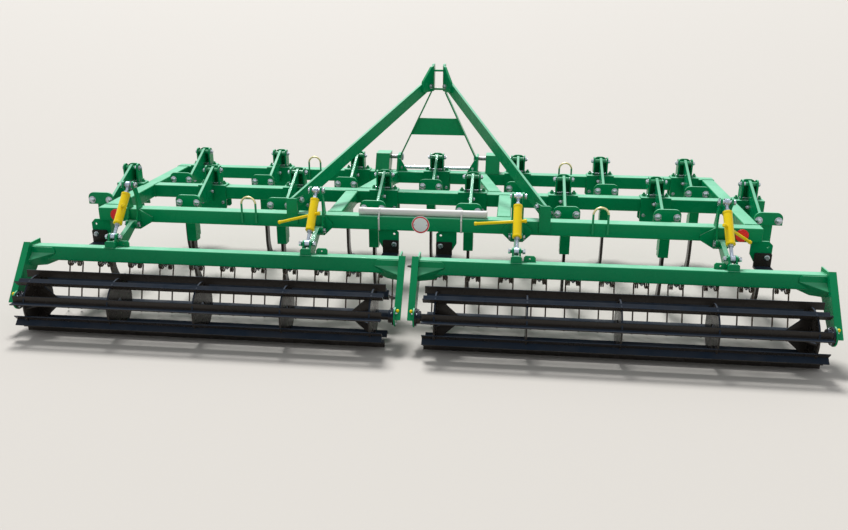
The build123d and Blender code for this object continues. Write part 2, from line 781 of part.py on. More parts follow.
def side_arm(x, outward):
    """Side arm whose plate starts at x, with its flange on the side that outward (1 or -1) points to."""
    with BuildPart() as arm:
        with BuildSketch(lies_in_frame(x)):
            outline(
                (half + arm_front, half + arm_tip),
                back_top,
                back_low,
                (axle[0] + 30, axle[1] - 40),
                (half + arm_front, -half + 10),
            )
            with Locations(axle):
                Circle(arm_hub)
                Circle(stub_r + 1, mode=Mode.SUBTRACT)
        extrude(amount=outward * arm_wall)
        with BuildSketch(lies_in_frame(x)):
            low, top = Vector(*back_low), Vector(*back_top)
            inside = Vector(low.Y - top.Y, top.X - low.X).normalized() * arm_wall
            outline(low, top, top + inside, low + inside)
        extrude(amount=outward * arm_flange)
    return arm.part


def corner_plate(x, toward):
    """Bent plate in the corner of beam and side arm at x; toward (1 or -1) points along the beam."""
    plane = lies_in_frame(0)
    tip = Vector(-half, -corner_thick / 2, x + toward * corner_long)
    heel = Vector(-half - corner_deep, -corner_thick / 2, x + toward * corner_step)
    hem = Vector(-half - corner_lip, -half - corner_down, x)
    normal = (heel - tip).cross(hem - tip)

    def on_skirt(along, z):
        """Point of the skirt's plane at this distance from the arm and height, in the roller frame."""
        at = x + toward * along
        y = tip.X - (normal.Y * (z - tip.Y) + normal.Z * (at - tip.Z)) / normal.X
        return plane.from_local_coords((y, z, at))

    with BuildPart() as web:
        with BuildSketch(behind_frame(-half)):
            end = x + toward * corner_long
            outline(
                (x, 0),
                (end, 0),
                (end, corner_up - corner_lip),
                (end - toward * corner_lip, corner_up),
                (x, corner_up),
            )
        extrude(amount=corner_thick)
        level = Plane(origin=plane.from_local_coords((-half, 0, 0)), x_dir=(1, 0, 0), z_dir=plane.y_dir)
        with BuildSketch(level):
            outline((x, 0), (end, 0), (x + toward * corner_step, -corner_deep), (x, -corner_deep))
        extrude(amount=-corner_thick)
        # the skirt slopes from the shelf's rear edge down below the beam
        start = plane.from_local_coords((tip.X, tip.Y, tip.Z))
        side = plane.from_local_coords((heel.X, heel.Y, heel.Z)) - start
        low = plane.from_local_coords((hem.X, hem.Y, hem.Z)) - start
        skirt = Plane(origin=start, x_dir=side, z_dir=side.cross(low))
        rim = (
            (corner_long, tip.Y),
            (corner_step, tip.Y),
            (corner_step, hem.Y),
            (corner_long / 2, hem.Y),
            (corner_long + corner_step, -half + 2),
        )
        with BuildSketch(skirt):
            outline(*[skirt.to_local_coords(on_skirt(along, z)) for along, z in rim])
        extrude(amount=corner_thick / 2, both=True)
        with BuildSketch(lies_in_frame(x - 2 * corner_long)):
            Rectangle(beam, beam)
        extrude(amount=4 * corner_long, mode=Mode.SUBTRACT)
    return web.part


# Roller frame, right side: beam, side arms with a flange along the back, corner plates, bearings
axle = in_frame(roller_y, roller_z)
back_top = (-half - arm_back, half + arm_rise)
back_low = in_frame(roller_y - arm_behind, roller_z - arm_drop)
with BuildPart() as roller_beam:
    with BuildSketch(lies_in_frame(roller_beam_in)):
        RectangleRounded(beam, beam, corner)
    extrude(amount=roller_beam_out - roller_beam_in)
arms = side_arm(roller_beam_in, -1).solids() + side_arm(roller_beam_out, 1).solids()
corners = corner_plate(roller_beam_in, 1).solids() + corner_plate(roller_beam_out, -1).solids()
with BuildPart() as bearing:
    with BuildSketch(across(roller_beam_in, roller_y, roller_z)):
        Circle(bearing_r)
    extrude(amount=bearing_step)
    neck_x = roller_beam_in + bearing_step
    add(round_bar(neck_x, roller_y, roller_z, bearing_neck, bearing_long - bearing_step))
    add(round_bar(roller_beam_in, roller_y, roller_z, stub_r + fit, bearing_long), mode=Mode.SUBTRACT)
far_bearing = Pos(roller_beam_in + roller_beam_out, 0, 0) * mirror(bearing.part, about=Plane.YZ)

# Linkage arms from the pivots below the rear beam, widening to the roller beam
pivot = in_frame(pivot_y, pivot_z)
lug_pin = in_frame(lug_pin_y, lug_pin_z)
with BuildPart() as link_arm:
    with BuildSketch(lies_in_frame(-link_arm_wide / 2)):
        outline(
            (half, -half + 4),
            (half, half),
            (half - 16, half),
            (half - 16, half + 10),
            (pivot[0] - 10, pivot[1] + 20),
            (pivot[0] + 8, pivot[1] - 21),
        )
    extrude(amount=link_arm_wide)
    with BuildSketch(lies_in_frame(-link_boss_wide / 2)):
        with Locations(pivot):
            Circle(link_boss_r)
    extrude(amount=link_boss_wide)
    with BuildSketch(lies_in_frame(-link_boss_wide / 2)):
        with Locations(pivot):
            Circle(link_pin_r + fit)
    extrude(amount=link_boss_wide, mode=Mode.SUBTRACT)

# Lugs that hold the turnbuckles' lower eyes: two ears behind which a plate rises from the beam
lug_gap = eye_thick + 4
lug_foot = (-half + 4, half - 2)
with BuildPart() as lug:
    with BuildSketch(lies_in_frame(lug_gap / 2)):
        outline(
            (lug_foot[0], half),
            (lug_pin[0] - 20, lug_pin[1] - 4),
            (lug_pin[0] + 20, lug_pin[1] - 4),
            (lug_foot[1], half),
        )
        with Locations(lug_pin):
            Circle(eye_r)
    extrude(amount=lug_wall)
    mirror(about=Plane.YZ)
    with BuildSketch(behind_frame(lug_foot[0] + 8)):
        with Locations((0, half)):
            Rectangle(lug_wide, lug_plate_high, align=(Align.CENTER, Align.MIN))
            chamfer(vertices().group_by(Axis.Y)[-1], 7)
    extrude(amount=8)
    with BuildSketch(lies_in_frame(-lug_gap / 2 - lug_wall - 8)):
        with Locations(lug_pin):
            Circle(link_pin_r)
    extrude(amount=lug_gap + 2 * lug_wall + 16)


def brace_plate(offset):
    """Small plate across the roller beam's top beside the linkage arm, centred at offset from it."""
    with BuildPart() as plate:
        with BuildSketch(behind_frame(half - 20)):
            with Locations((offset, half)):
                Rectangle(brace_plate_wide, brace_plate_high, align=(Align.CENTER, Align.MIN))
                chamfer(vertices().group_by(Axis.Y)[-1], 10)
            with Locations((offset, half + brace_plate_high / 2)):
                Circle(brace_hole / 2, mode=Mode.SUBTRACT)
        extrude(amount=brace_plate_wall)
    return plate.part


for side in (-1, 1):
    links = [row for row in turnbuckles if row[1] * side > 0]
    arms_of_links = [solid for row in links for solid in (Pos(row[1], 0, 0) * link_arm.part).solids()]
    lugs_of_links = [solid for row in links for solid in (Pos(row[1], 0, 0) * lug.part).solids()]
    plates = [solid for row in links for solid in (Pos(row[1], 0, 0) * brace_plate(row[4])).solids()]
    frame_parts = {
        "roller_beam": roller_beam.part.solids(),
        "side_arms": arms,
        "gussets": corners,
        "bearings": bearing.part.solids() + far_bearing.solids(),
    }
    name = "right" if side > 0 else "left"
    for label, pieces in frame_parts.items():
        piece = Compound(children=pieces)
        if side < 0:
            piece = Compound(children=mirror(piece, about=Plane.YZ).solids())
        save(Compound(children=piece.solids()), f"{name}_{label}")
    save(Compound(children=arms_of_links), f"{name}_linkage_arms")
    save(Compound(children=lugs_of_links + plates), f"{name}_lugs")

# Cage roller: angle bars with their corners inward in the rims of discs, with a ribbed stub axle at each end
cage_in = roller_beam_in + cage_end
cage_out = roller_beam_out - cage_end
first_disc = roller_beam_in + disc_end
disc_step = (roller_beam_out - roller_beam_in - 2 * disc_end) / (discs - 1)
leg = bar_leg * math.sqrt(0.5)
skin = bar_wall * math.sqrt(0.5)
with BuildSketch() as bar_profile:
    outline(
        (0, 0),
        (leg, leg),
        (leg - skin, leg + skin),
        (-2 * skin, 0),
        (leg - skin, -leg - skin),
        (leg, -leg),
    )
with BuildPart() as cage:
    with BuildSketch(across(cage_in, roller_y, roller_z)):
        with PolarLocations(bar_seat, roller_bars, start_angle=first_bar):
            add(bar_profile.sketch.rotate(Axis.Z, -bar_lean))
    extrude(amount=cage_out - cage_in)
    for i in range(discs):
        inner_disc = 0 < i < discs - 1
        with BuildSketch(across(first_disc + i * disc_step - disc_wall / 2, roller_y, roller_z)):
            Circle(disc_r)
            if inner_disc:
                Circle(disc_hole, mode=Mode.SUBTRACT)
        extrude(amount=disc_wall)
    # stub axles through the end discs, held by four ribs on the discs' inner side
    for axle_start, disc_x, inward in (
        (roller_beam_in + 1, first_disc + disc_wall / 2, 1),
        (roller_beam_out - 1, first_disc + (discs - 1) * disc_step - disc_wall / 2, -1),
    ):
        axle_end = disc_x + inward * rib_long
        add(round_bar(min(axle_start, axle_end), roller_y, roller_z, stub_r, abs(axle_end - axle_start)))
        for turn in range(4):
            spoke = turn * math.pi / 2
            radial = (0, math.sin(spoke), math.cos(spoke))
            across_rib = Vector(inward, 0, 0).cross(Vector(*radial))
            rib_plane = Plane(origin=(disc_x, roller_y, roller_z), x_dir=(inward, 0, 0), z_dir=across_rib)
            with BuildSketch(rib_plane):
                outline((0, 0), (rib_long, 0), (rib_long, stub_r), (0, disc_r - stub_r))
            extrude(amount=rib_wall / 2, both=True)
save(cage.part, "right_roller")
save(mirror(cage.part, about=Plane.YZ), "left_roller")

# Linkage ears on the rear beam: two plates with a horn above and an eye below, on a wide foot plate
ear_x = ear_gap / 2
foot_y = rear_face - foot_wall
with BuildPart() as ear_pair:
    with BuildSketch(across(ear_x, 0, 0)):
        with BuildLine():
            Polyline(
                (pivot_y - horn_r, pivot_z),
                (foot_y, pivot_z - 30),
                (foot_y, frame_top),
                (rear_face + horn_front, frame_top),
                (upper_pin_y + horn_r, upper_pin_z),
                (upper_pin_y - horn_r, upper_pin_z),
            )
            ThreePointArc(
                (upper_pin_y - horn_r, upper_pin_z),
                (foot_y - 10, frame_top - 10),
                (pivot_y - horn_r, pivot_z),
            )
        make_face()
        with Locations((upper_pin_y, upper_pin_z)):
            Circle(horn_r)
        with Locations((pivot_y, pivot_z)):
            Circle(eye_lobe)
        with Locations((upper_pin_y, upper_pin_z), (pivot_y, pivot_z)):
            Circle(link_pin_r, mode=Mode.SUBTRACT)
    extrude(amount=ear_wall)
    mirror(about=Plane.YZ)


def foot_plate(left, right):
    """Foot plate of the ears, reaching left and right of the linkage and cut to the ears above."""
    ears_out = ear_x + ear_wall
    with BuildPart() as plate:
        with BuildSketch(from_behind(rear_face)):
            outline(
                (-left, frame_low + 8),
                (-ears_out, frame_low - foot_down),
                (ears_out, frame_low - foot_down),
                (right, frame_low + 8),
                (right, frame_low + foot_up),
                (ears_out, frame_top),
                (-ears_out, frame_top),
                (-left, frame_low + foot_up),
            )
        extrude(amount=foot_wall)
    return plate.part


all_ears = []
for name, x, left, right, plate_x, turn, long_end, short_end in turnbuckles:
    with BuildPart() as ears:
        add(ear_pair.part)
        add(foot_plate(left, right))
    all_ears += (Pos(x, 0, 0) * ears.part).solids()
save(Compound(children=all_ears), "linkage_ears")
pin_long = 2 * (ear_x + ear_wall + pin_end)
pin_places = ((upper_pin_y, upper_pin_z), (pivot_y, pivot_z))
pin_pair = [round_bar(-pin_long / 2, y, z, link_pin_r, pin_long) for y, z in pin_places]
link_places = [(row[1], 0, 0) for row in turnbuckles]
save(copies(Compound(children=pin_pair), link_places), "linkage_pins")

# Turnbuckles: barrel, handle and upper eye hang on the upper pin, the lower rod slides in the barrel
upper_pin = Vector(0, upper_pin_y, upper_pin_z)
link_run = Vector(0, lug_pin_y, lug_pin_z) - upper_pin
pins_apart = link_run.length
along = link_run.normalized()
barrel_end = barrel_start + barrel_long


def on_link(distance):
    """Plane across the turnbuckle at this distance from its upper pin."""
    return Plane(origin=upper_pin + along * distance, x_dir=(1, 0, 0), z_dir=along)


def eye_and_rod(at, bore, to):
    """A round eye about the pin at distance at, and its rod up to distance to."""
    centre = upper_pin + along * at
    with BuildPart() as piece:
        with BuildSketch(on_link(min(at, to))):
            Circle(rod_r)
        extrude(amount=abs(to - at))
        add(round_bar(-eye_thick / 2, centre.Y, centre.Z, eye_r, eye_thick))
        add(round_bar(-eye_thick / 2, centre.Y, centre.Z, bore, eye_thick), mode=Mode.SUBTRACT)
    return piece.part


# both jam nuts sit on the barrel's ends and swing with it
with BuildPart() as jam_nuts:
    for start in (barrel_start - jam_nut_long, barrel_end):
        with BuildSketch(on_link(start)):
            RegularPolygon(jam_nut, 6)
            Circle(rod_r + fit, mode=Mode.SUBTRACT)
        extrude(amount=jam_nut_long)
upper_rod = eye_and_rod(0, link_pin_r + fit, barrel_start + rod_grip)
upper_pieces = Compound(children=upper_rod.solids() + jam_nuts.part.solids())
lower_rod = eye_and_rod(pins_apart, link_pin_r + drift, barrel_end - rod_grip)
for name, x, left, right, plate_x, turn, long_end, short_end in turnbuckles:
    middle = on_link(barrel_start + barrel_long / 2)
    angle = math.radians(turn)
    reach = middle.x_dir * math.cos(angle) + middle.y_dir * math.sin(angle)
    with BuildPart() as barrel:
        with BuildSketch(on_link(barrel_start)):
            Circle(barrel_r)
        extrude(amount=barrel_long)
        for at in (barrel_start, barrel_end - collar_long):
            with BuildSketch(on_link(at)):
                Circle(collar_r)
            extrude(amount=collar_long)
        with BuildSketch(Plane(origin=middle.origin - reach * (barrel_r + short_end), z_dir=reach)):
            Circle(handle_r)
        extrude(amount=2 * barrel_r + short_end + long_end)
        for end, back in ((barrel_r + long_end, -1), (-barrel_r - short_end, 1)):
            with BuildSketch(Plane(origin=middle.origin + reach * end, z_dir=reach)):
                Circle(knob_r)
            extrude(amount=back * knob_long)
        with BuildSketch(on_link(barrel_start)):
            Circle(rod_r + fit)
        extrude(amount=barrel_long, mode=Mode.SUBTRACT)
    save(Pos(x, 0, 0) * barrel.part, f"{name}_barrel")
    save(Compound(children=[Pos(x, 0, 0) * solid for solid in upper_pieces.solids()]), f"{name}_upper_rod")
    save(Pos(x, 0, 0) * lower_rod, f"{name}_lower_rod")
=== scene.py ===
import math

import bpy
import numpy as np
from mathutils import Matrix


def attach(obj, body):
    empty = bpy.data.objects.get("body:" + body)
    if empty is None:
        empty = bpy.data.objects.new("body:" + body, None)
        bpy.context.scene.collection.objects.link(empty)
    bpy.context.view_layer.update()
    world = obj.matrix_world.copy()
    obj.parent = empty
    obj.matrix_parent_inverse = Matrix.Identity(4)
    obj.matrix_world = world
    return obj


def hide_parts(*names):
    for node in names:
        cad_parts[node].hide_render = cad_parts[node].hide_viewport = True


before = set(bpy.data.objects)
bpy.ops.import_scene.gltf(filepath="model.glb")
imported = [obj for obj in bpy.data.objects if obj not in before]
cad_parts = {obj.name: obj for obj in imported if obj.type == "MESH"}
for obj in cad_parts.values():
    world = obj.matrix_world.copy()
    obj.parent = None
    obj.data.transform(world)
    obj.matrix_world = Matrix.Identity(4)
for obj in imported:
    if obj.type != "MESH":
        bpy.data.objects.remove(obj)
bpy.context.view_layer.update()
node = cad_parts

# Frame. Three cross beams and six rails of 80 mm square tube with rounded corners, welded into one flat grid.
# The whole frame is sprayed with one glossy green enamel: a fine orange peel, corners where the coat is thin,
# and on the faces that look up a pale mint film that is dust together with a painted sheen of the sun.


def new_finish(label, plain):
    """A material with plain values on its Principled shader's own sockets, with its tree and that shader."""
    finish = bpy.data.materials.new(label)
    finish.use_nodes = True
    shader = finish.node_tree.nodes["Principled BSDF"]
    for socket, value in plain.items():
        shader.inputs[socket].default_value = value
    return finish, finish.node_tree, shader


def put(tree, kind, links, **options):
    """A node in the tree: options are its own settings, links say what value or output each input follows."""
    made = tree.nodes.new(kind)
    for name, value in options.items():
        setattr(made, name, value)
    for name, source in links.items():
        if isinstance(source, bpy.types.NodeSocket):
            tree.links.new(source, made.inputs[name])
        else:
            made.inputs[name].default_value = source
    return made


def lead(tree, sources, target):
    """Each source goes to the input of the target node that it is named for."""
    for name, source in sources.items():
        tree.links.new(source, target.inputs[name])


def own_place(tree):
    """The point on the piece's own coordinates."""
    return put(tree, "ShaderNodeTexCoord", {}).outputs["Object"]


def along(tree, axis, vector):
    """The vector's part along the axis X, Y or Z."""
    return put(tree, "ShaderNodeSeparateXYZ", {"Vector": vector}).outputs[axis]


def mixed(tree, share, first, second):
    """Colour that goes from first to second as share goes from 0 to 1."""
    return put(tree, "ShaderNodeMix", {0: share, 6: first, 7: second}, data_type="RGBA").outputs[2]


def ramp(tree, value, low, high, out_low=0.0, out_high=1.0):
    """Value mapped smoothly from low..high to out_low..out_high and held there."""
    links = {"Value": value, "From Min": low, "From Max": high, "To Min": out_low, "To Max": out_high}
    return put(tree, "ShaderNodeMapRange", links, interpolation_type="SMOOTHSTEP").outputs["Result"]


def figured(tree, operation, first, second):
    """What the operation makes of two values."""
    return put(tree, "ShaderNodeMath", {0: first, 1: second}, operation=operation).outputs[0]


def product(tree, *values):
    """The values multiplied together."""
    total = values[0]
    for value in values[1:]:
        total = figured(tree, "MULTIPLY", total, value)
    return total


def grain(tree, size, detail):
    """Noise in 0..1 whose lumps are about size metres across."""
    links = {"Vector": own_place(tree), "Scale": 1 / size, "Detail": detail}
    return put(tree, "ShaderNodeTexNoise", links).outputs["Fac"]


def bumped(tree, height, distance, strength, **under):
    """The normal that a height gives, alone or over the Normal that is there already."""
    links = {"Height": height, "Distance": distance, "Strength": strength, **under}
    return put(tree, "ShaderNodeBump", links).outputs["Normal"]


def new_effect(label, takes, gives):
    """An empty node group with named inputs and outputs, as (group, its inputs inside, its output node). An
    input's value has one number, or three for a vector, or four for a colour."""
    group = bpy.data.node_groups.new(label, "ShaderNodeTree")
    for name, value in takes.items():
        kind = {1: "NodeSocketFloat", 3: "NodeSocketVector", 4: "NodeSocketColor"}[np.size(value)]
        group.interface.new_socket(name=name, in_out="INPUT", socket_type=kind).default_value = value
    for name in gives:
        kind = {"Color": "NodeSocketColor", "Normal": "NodeSocketVector"}.get(name, "NodeSocketFloat")
        group.interface.new_socket(name=name, in_out="OUTPUT", socket_type=kind)
    return group, group.nodes.new("NodeGroupInput").outputs, group.nodes.new("NodeGroupOutput")


# Sprayed paint: slow clouds between two shades, orange peel as height, gloss that wanders a little
sprayed_paint, given, leave = new_effect(
    "sprayed_paint",
    {"Paint": (0, 0, 0, 1), "Shade": (0, 0, 0, 1), "Gloss": 0.3},
    ("Color", "Roughness", "Height"),
)
cloud = ramp(sprayed_paint, grain(sprayed_paint, 0.35, 3), 0.35, 0.7)
wander = ramp(sprayed_paint, grain(sprayed_paint, 0.08, 5), 0.3, 0.7, -0.05, 0.08)
lead(sprayed_paint, {
    "Color": mixed(sprayed_paint, cloud, given["Paint"], given["Shade"]),
    "Roughness": figured(sprayed_paint, "ADD", wander, given["Gloss"]),
    "Height": grain(sprayed_paint, 0.004, 1),
}, leave)

# Worn edges: where the surface bends within Width, the coat is rounded off and here and there chipped to Bare
worn_edges, given, leave = new_effect(
    "worn_edges",
    {"Color": (0, 0, 0, 1), "Roughness": 0.5, "Bare": (0.4, 0.4, 0.4, 1), "Width": 0.002, "Wear": 0.3},
    ("Color", "Roughness", "Normal"),
)
rounded = put(worn_edges, "ShaderNodeBevel", {"Radius": given["Width"]}, samples=4).outputs["Normal"]
flat = put(worn_edges, "ShaderNodeNewGeometry", {}).outputs["Normal"]
agreement = put(worn_edges, "ShaderNodeVectorMath", {0: rounded, 1: flat}, operation="DOT_PRODUCT")
edge = ramp(worn_edges, agreement.outputs["Value"], 0.99, 0.9)
chip = ramp(worn_edges, grain(worn_edges, 0.02, 6), 0.5, 0.62)
bare = product(worn_edges, edge, chip, given["Wear"])
lead(worn_edges, {
    "Color": mixed(worn_edges, bare, given["Color"], given["Bare"]),
    "Roughness": figured(worn_edges, "ADD", given["Roughness"], bare),
    "Normal": rounded,
}, leave)

# Dust and sheen: a film in patches, none on faces that look up less than Start and all of it from Full on,
# where
# 0 is an upright face and 1 a level one. The film is dust, and on the enamels also a painted sheen of the sun
# and sky on the faces that look up
dust_and_sheen, given, leave = new_effect(
    "dust_and_sheen",
    {"Color": (0, 0, 0, 1), "Roughness": 0.5, "Dust": (0.55, 0.56, 0.50, 1), "Amount": 0.2, "Start": 0.2,
     "Full": 0.95},
    ("Color", "Roughness"),
)
upward = along(dust_and_sheen, "Z", put(dust_and_sheen, "ShaderNodeNewGeometry", {}).outputs["Normal"])
patches = ramp(dust_and_sheen, grain(dust_and_sheen, 0.12, 8), 0.25, 0.75, 0.7, 1.0)
level_enough = ramp(dust_and_sheen, upward, given["Start"], given["Full"])
dust_and_sheen_film = product(dust_and_sheen, level_enough, patches, given["Amount"])
lead(dust_and_sheen, {
    "Color": mixed(dust_and_sheen, dust_and_sheen_film, given["Color"], given["Dust"]),
    "Roughness": figured(dust_and_sheen, "ADD", given["Roughness"], product(dust_and_sheen, dust_and_sheen_film, 0.6)),
}, leave)


def effect(tree, group, links):
    """One placing of an effect in a material's tree."""
    return put(tree, "ShaderNodeGroup", links, node_tree=group).outputs


def coated(tree, paint, shade, gloss):
    """Sprayed paint between these two shades."""
    return effect(tree, sprayed_paint, {"Paint": (*paint, 1), "Shade": (*shade, 1), "Gloss": gloss})


def over(tree, group, under, **links):
    """An effect laid over the colour and roughness under it."""
    return effect(tree, group, {"Color": under["Color"], "Roughness": under["Roughness"], **links})


def painted(label, paint, shade, gloss, bare, wear, dust_and_sheen_share, dust_and_sheen_film, plain, start=0.7, full=0.97):
    """Enamel on steel: sprayed paint, worn at its edges, a film on the faces that look up that is dust
    together with a painted sheen of the sun and sky, and the bumps of its orange peel. One share says how much
    of that film lies on level faces, and one colour is that of the film, dust and painted sheen together."""
    finish, tree, shader = new_finish(label, plain)
    coat = coated(tree, paint, shade, gloss)
    worn = over(tree, worn_edges, coat, Bare=(*bare, 1), Width=0.0016, Wear=wear)
    with_dust_and_sheen = over(tree, dust_and_sheen, worn, Dust=(*dust_and_sheen_film, 1), Amount=dust_and_sheen_share, Start=start, Full=full)
    lead(tree, {"Base Color": with_dust_and_sheen["Color"], "Roughness": with_dust_and_sheen["Roughness"],
                "Normal": bumped(tree, coat["Height"], 0.0002, 0.35, Normal=worn["Normal"])}, shader)
    return finish


def wear_in(finish, *names):
    """CAD nodes get this finish in their material slots."""
    for name in names:
        for slot in node[name].material_slots:
            slot.material = finish


# the pale mint film on the faces that look up is dust together with a painted sheen of the sun
green_enamel = painted("green_enamel", (0.0, 0.27, 0.095), (0.0, 0.24, 0.085), 0.25, (0.25, 0.27, 0.26), 0.4,
                       0.46, (0.44, 0.82, 0.64),
                       {"Coat Weight": 0.03, "Coat Roughness": 0.05, "Specular IOR Level": 0.12})
wear_in(green_enamel, "rear_beam", "middle_beam", "front_beam", "side_rails", "beam_stubs", "centre_rails",
        "hitch_rails")

beam_side, tube_corner = 0.08, 0.008
beam_top = 0.545
beam_mid = beam_top - beam_side / 2
rear_y, middle_y, front_y = -0.29, 0.295, 0.88
side_rail_x, centre_rail_x = 1.832, 0.485
hitch_rail_rear_x, hitch_rail_front_x = 0.421, 0.309
frame_end = side_rail_x + beam_side / 2
stub_end = frame_end + 0.168


def grid_faces(rings, around, loop=False):
    """Quads between neighbouring rings of a grid, each closed; with loop the last joins the first."""
    i, j = np.meshgrid(np.arange(rings if loop else rings - 1), np.arange(around), indexing="ij")
    near, far, beside = i * around, (i + 1) % rings * around, (j + 1) % around
    return np.stack([near + j, near + beside, far + beside, far + j], -1).reshape(-1, 4)


def closed_rings(points):
    """Shape (points, faces) of a grid of rings, its two end rings filled by a fan about their middles."""
    rings, around = points.shape[:2]
    j = np.arange(around)
    beside = (j + 1) % around
    first, last = rings * around, rings * around + 1
    last_ring = first - around
    fans = np.concatenate([np.stack([np.full(around, first), beside, j], -1),
                           np.stack([np.full(around, last), j + last_ring, beside + last_ring], -1)])
    middles = points[[0, -1]].mean(1)
    return np.concatenate([points.reshape(-1, 3), middles]), [grid_faces(rings, around), fans]


def unit(vectors):
    """The vectors scaled to length one."""
    return vectors / np.linalg.norm(vectors, axis=-1, keepdims=True)


def full_turn(count):
    """Even angles once round a circle."""
    return np.linspace(0, 2 * np.pi, count, endpoint=False)


def tube(path, radius, sides=8, loop=False):
    """A round section carried along a path: the point at angle a on ring i is path i plus radius i times
    (cosine a along one normal of the path, sine a along the other)."""
    path = np.asarray(path, float)
    run = unit(np.roll(path, -1, 0) - np.roll(path, 1, 0) if loop else np.gradient(path, axis=0))
    # the normals come from the direction that the path keeps furthest from
    leans = unit(np.array([(1, 0, 0), (0, 1, 0), (0, 0, 1), (1, 0, 1), (1, 1, 0), (0, 1, 1), (1, 1, 1),
                           (1, -1, 1)]))
    lean = leans[np.abs(run @ leans.T).max(0).argmin()]
    first = unit(np.cross(run, lean))
    second = np.cross(run, first)
    turn = full_turn(sides)[None, :, None]
    wide = np.broadcast_to(radius, len(path))[:, None, None]
    points = path[:, None] + wide * (np.cos(turn) * first[:, None] + np.sin(turn) * second[:, None])
    if loop:
        return points.reshape(-1, 3), [grid_faces(len(path), sides, True)]
    return closed_rings(points)


def arc(centre, radius, first, second, turn):
    """Points of a circle at these angles: the cosine runs along first and the sine along second."""
    return np.asarray(centre) + radius * (np.cos(turn)[:, None] * first + np.sin(turn)[:, None] * second)


def evenly(path, step, loop=False):
    """Points at even steps along the straight runs of a path."""
    path = np.asarray(path, float)
    if loop:
        path = np.concatenate([path, path[:1]])
    gone = np.concatenate([[0], np.cumsum(np.linalg.norm(np.diff(path, axis=0), axis=1))])
    at = np.linspace(0, gone[-1], max(int(gone[-1] / step), 3) + 1)
    at = at[:-1] if loop else at
    return np.stack([np.interp(at, gone, path[:, k]) for k in range(3)], -1)


def weld(path, wide=0.008, loop=False, step=0.0022):
    """A weld bead along a path: a round section whose radius swells and shrinks with each ripple of the weld,
    half the width times (1 + a seventh of the sine of the way gone over the ripple's 5 mm)."""
    line = evenly(path, step, loop)
    ripple = wide / 2 * (1 + np.sin(np.arange(len(line)) * step / 0.005 * 2 * np.pi) / 7)
    return tube(line, ripple, 6, loop)


def joined(shapes):
    """Several shapes as one."""
    starts = np.cumsum([0] + [len(points) for points, faces in shapes])
    return (np.concatenate([points for points, faces in shapes]),
            [array + start for (points, faces), start in zip(shapes, starts) for array in faces])


def on_side(shape, sign):
    """The shape as drawn for the right side, or its mirror image in the plane X = 0 for the left."""
    points, faces = shape
    return shape if sign > 0 else (points * (-1, 1, 1), [array[:, ::-1] for array in faces])


def mirrored(*shapes):
    """The shapes together with their mirror image."""
    whole = joined(shapes)
    return joined([whole, on_side(whole, -1)])


def shown(label, data):
    """An object in the scene that shows this mesh, camera or lamp."""
    item = bpy.data.objects.new(label, data)
    bpy.context.scene.collection.objects.link(item)
    return item


def build(label, shape, finish, body="frame", smooth_under=40):
    """The shape as a finished piece: smooth where its faces meet under that angle, riding on its body."""
    points, faces = shape
    mesh = bpy.data.meshes.new(label)
    mesh.from_pydata(points.tolist(), [], [face for array in faces for face in array.tolist()])
    mesh.shade_smooth()
    mesh.set_sharp_from_angle(angle=math.radians(smooth_under))
    mesh.materials.append(finish)
    piece = shown(label, mesh)
    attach(piece, body)
    return piece


def round_square(centre, wide_way, high_way, side=beam_side):
    """Outline of a square tube: a circle of the corner's radius, each quarter moved out to its corner."""
    turn = full_turn(24) + np.pi / 24
    out = side / 2 - tube_corner
    wide = out * np.sign(np.cos(turn)) + tube_corner * np.cos(turn)
    high = out * np.sign(np.sin(turn)) + tube_corner * np.sin(turn)
    return np.asarray(centre) + wide[:, None] * wide_way + high[:, None] * high_way


# Weld beads run round each rail where it meets a beam
rear_front_face, front_rear_face = rear_y + beam_side / 2, front_y - beam_side / 2
middle_faces = (middle_y - beam_side / 2, middle_y + beam_side / 2)
along_x, along_y, along_z = np.eye(3)
rail_ends = [(side_rail_x, rear_front_face), (side_rail_x, front_rear_face), (centre_rail_x, rear_front_face),
             (centre_rail_x, middle_faces[0]), (hitch_rail_rear_x, middle_faces[1]),
             (hitch_rail_front_x, front_rear_face)]
beads = [weld(round_square((x, y, beam_mid), along_x, along_z), loop=True) for x, y in rail_ends]
beads += [weld(round_square((x, middle_y, beam_mid), along_y, along_z), loop=True)
          for x in (side_rail_x - beam_side / 2, frame_end)]
build("frame_welds", mirrored(*beads), green_enamel)

# Tube ends. Each open end of a beam is closed by a plate let in between the corners, a little pressed out,
# with a small weld all round it.
cap_proud = 0.003


def pressed_cap(centre):
    """A cap on the end of a tube along X: rings of a rounded square that draw in as they rise."""
    inset = np.array([0.003, 0.0032, 0.006, 0.011])
    rise = np.array([-0.001, 0.6, 1.0, 0.9]) * cap_proud
    rings = [round_square(centre + high * along_x, along_y, along_z, beam_side - 2 * draw)
             for draw, high in zip(inset, rise)]
    return closed_rings(np.array(rings))


caps = []
for x, y in ((stub_end, middle_y), (frame_end, rear_y), (frame_end, front_y)):
    rim = round_square((x, y, beam_mid), along_y, along_z, beam_side - 0.005)
    caps += [pressed_cap((x, y, beam_mid)), weld(rim, 0.004, True, 0.003)]
build("beam_end_caps", mirrored(*caps), green_enamel)

# Tine units. Fifteen clamps of thick plate grip the beams; a tower on each carries the pivot bolt of a
# triangular lever, whose end plate is bolted to the holder of the tine. Bolts and nuts are bright zinc, those
# on the clamp's flange went through the paint shop with it.
tine_step, end_tine_x = 0.56, 1.948
middle_row = [(i - 3) * tine_step - tine_step / 2 for i in range(1, 7)] + [-end_tine_x, end_tine_x]
front_row = [(i - 3) * tine_step for i in range(7)]
units = np.array([(x, middle_y, beam_mid) for x in middle_row] + [(x, front_y, beam_mid) for x in front_row])
wear_in(green_enamel, "tine_clamps", "tine_holders")

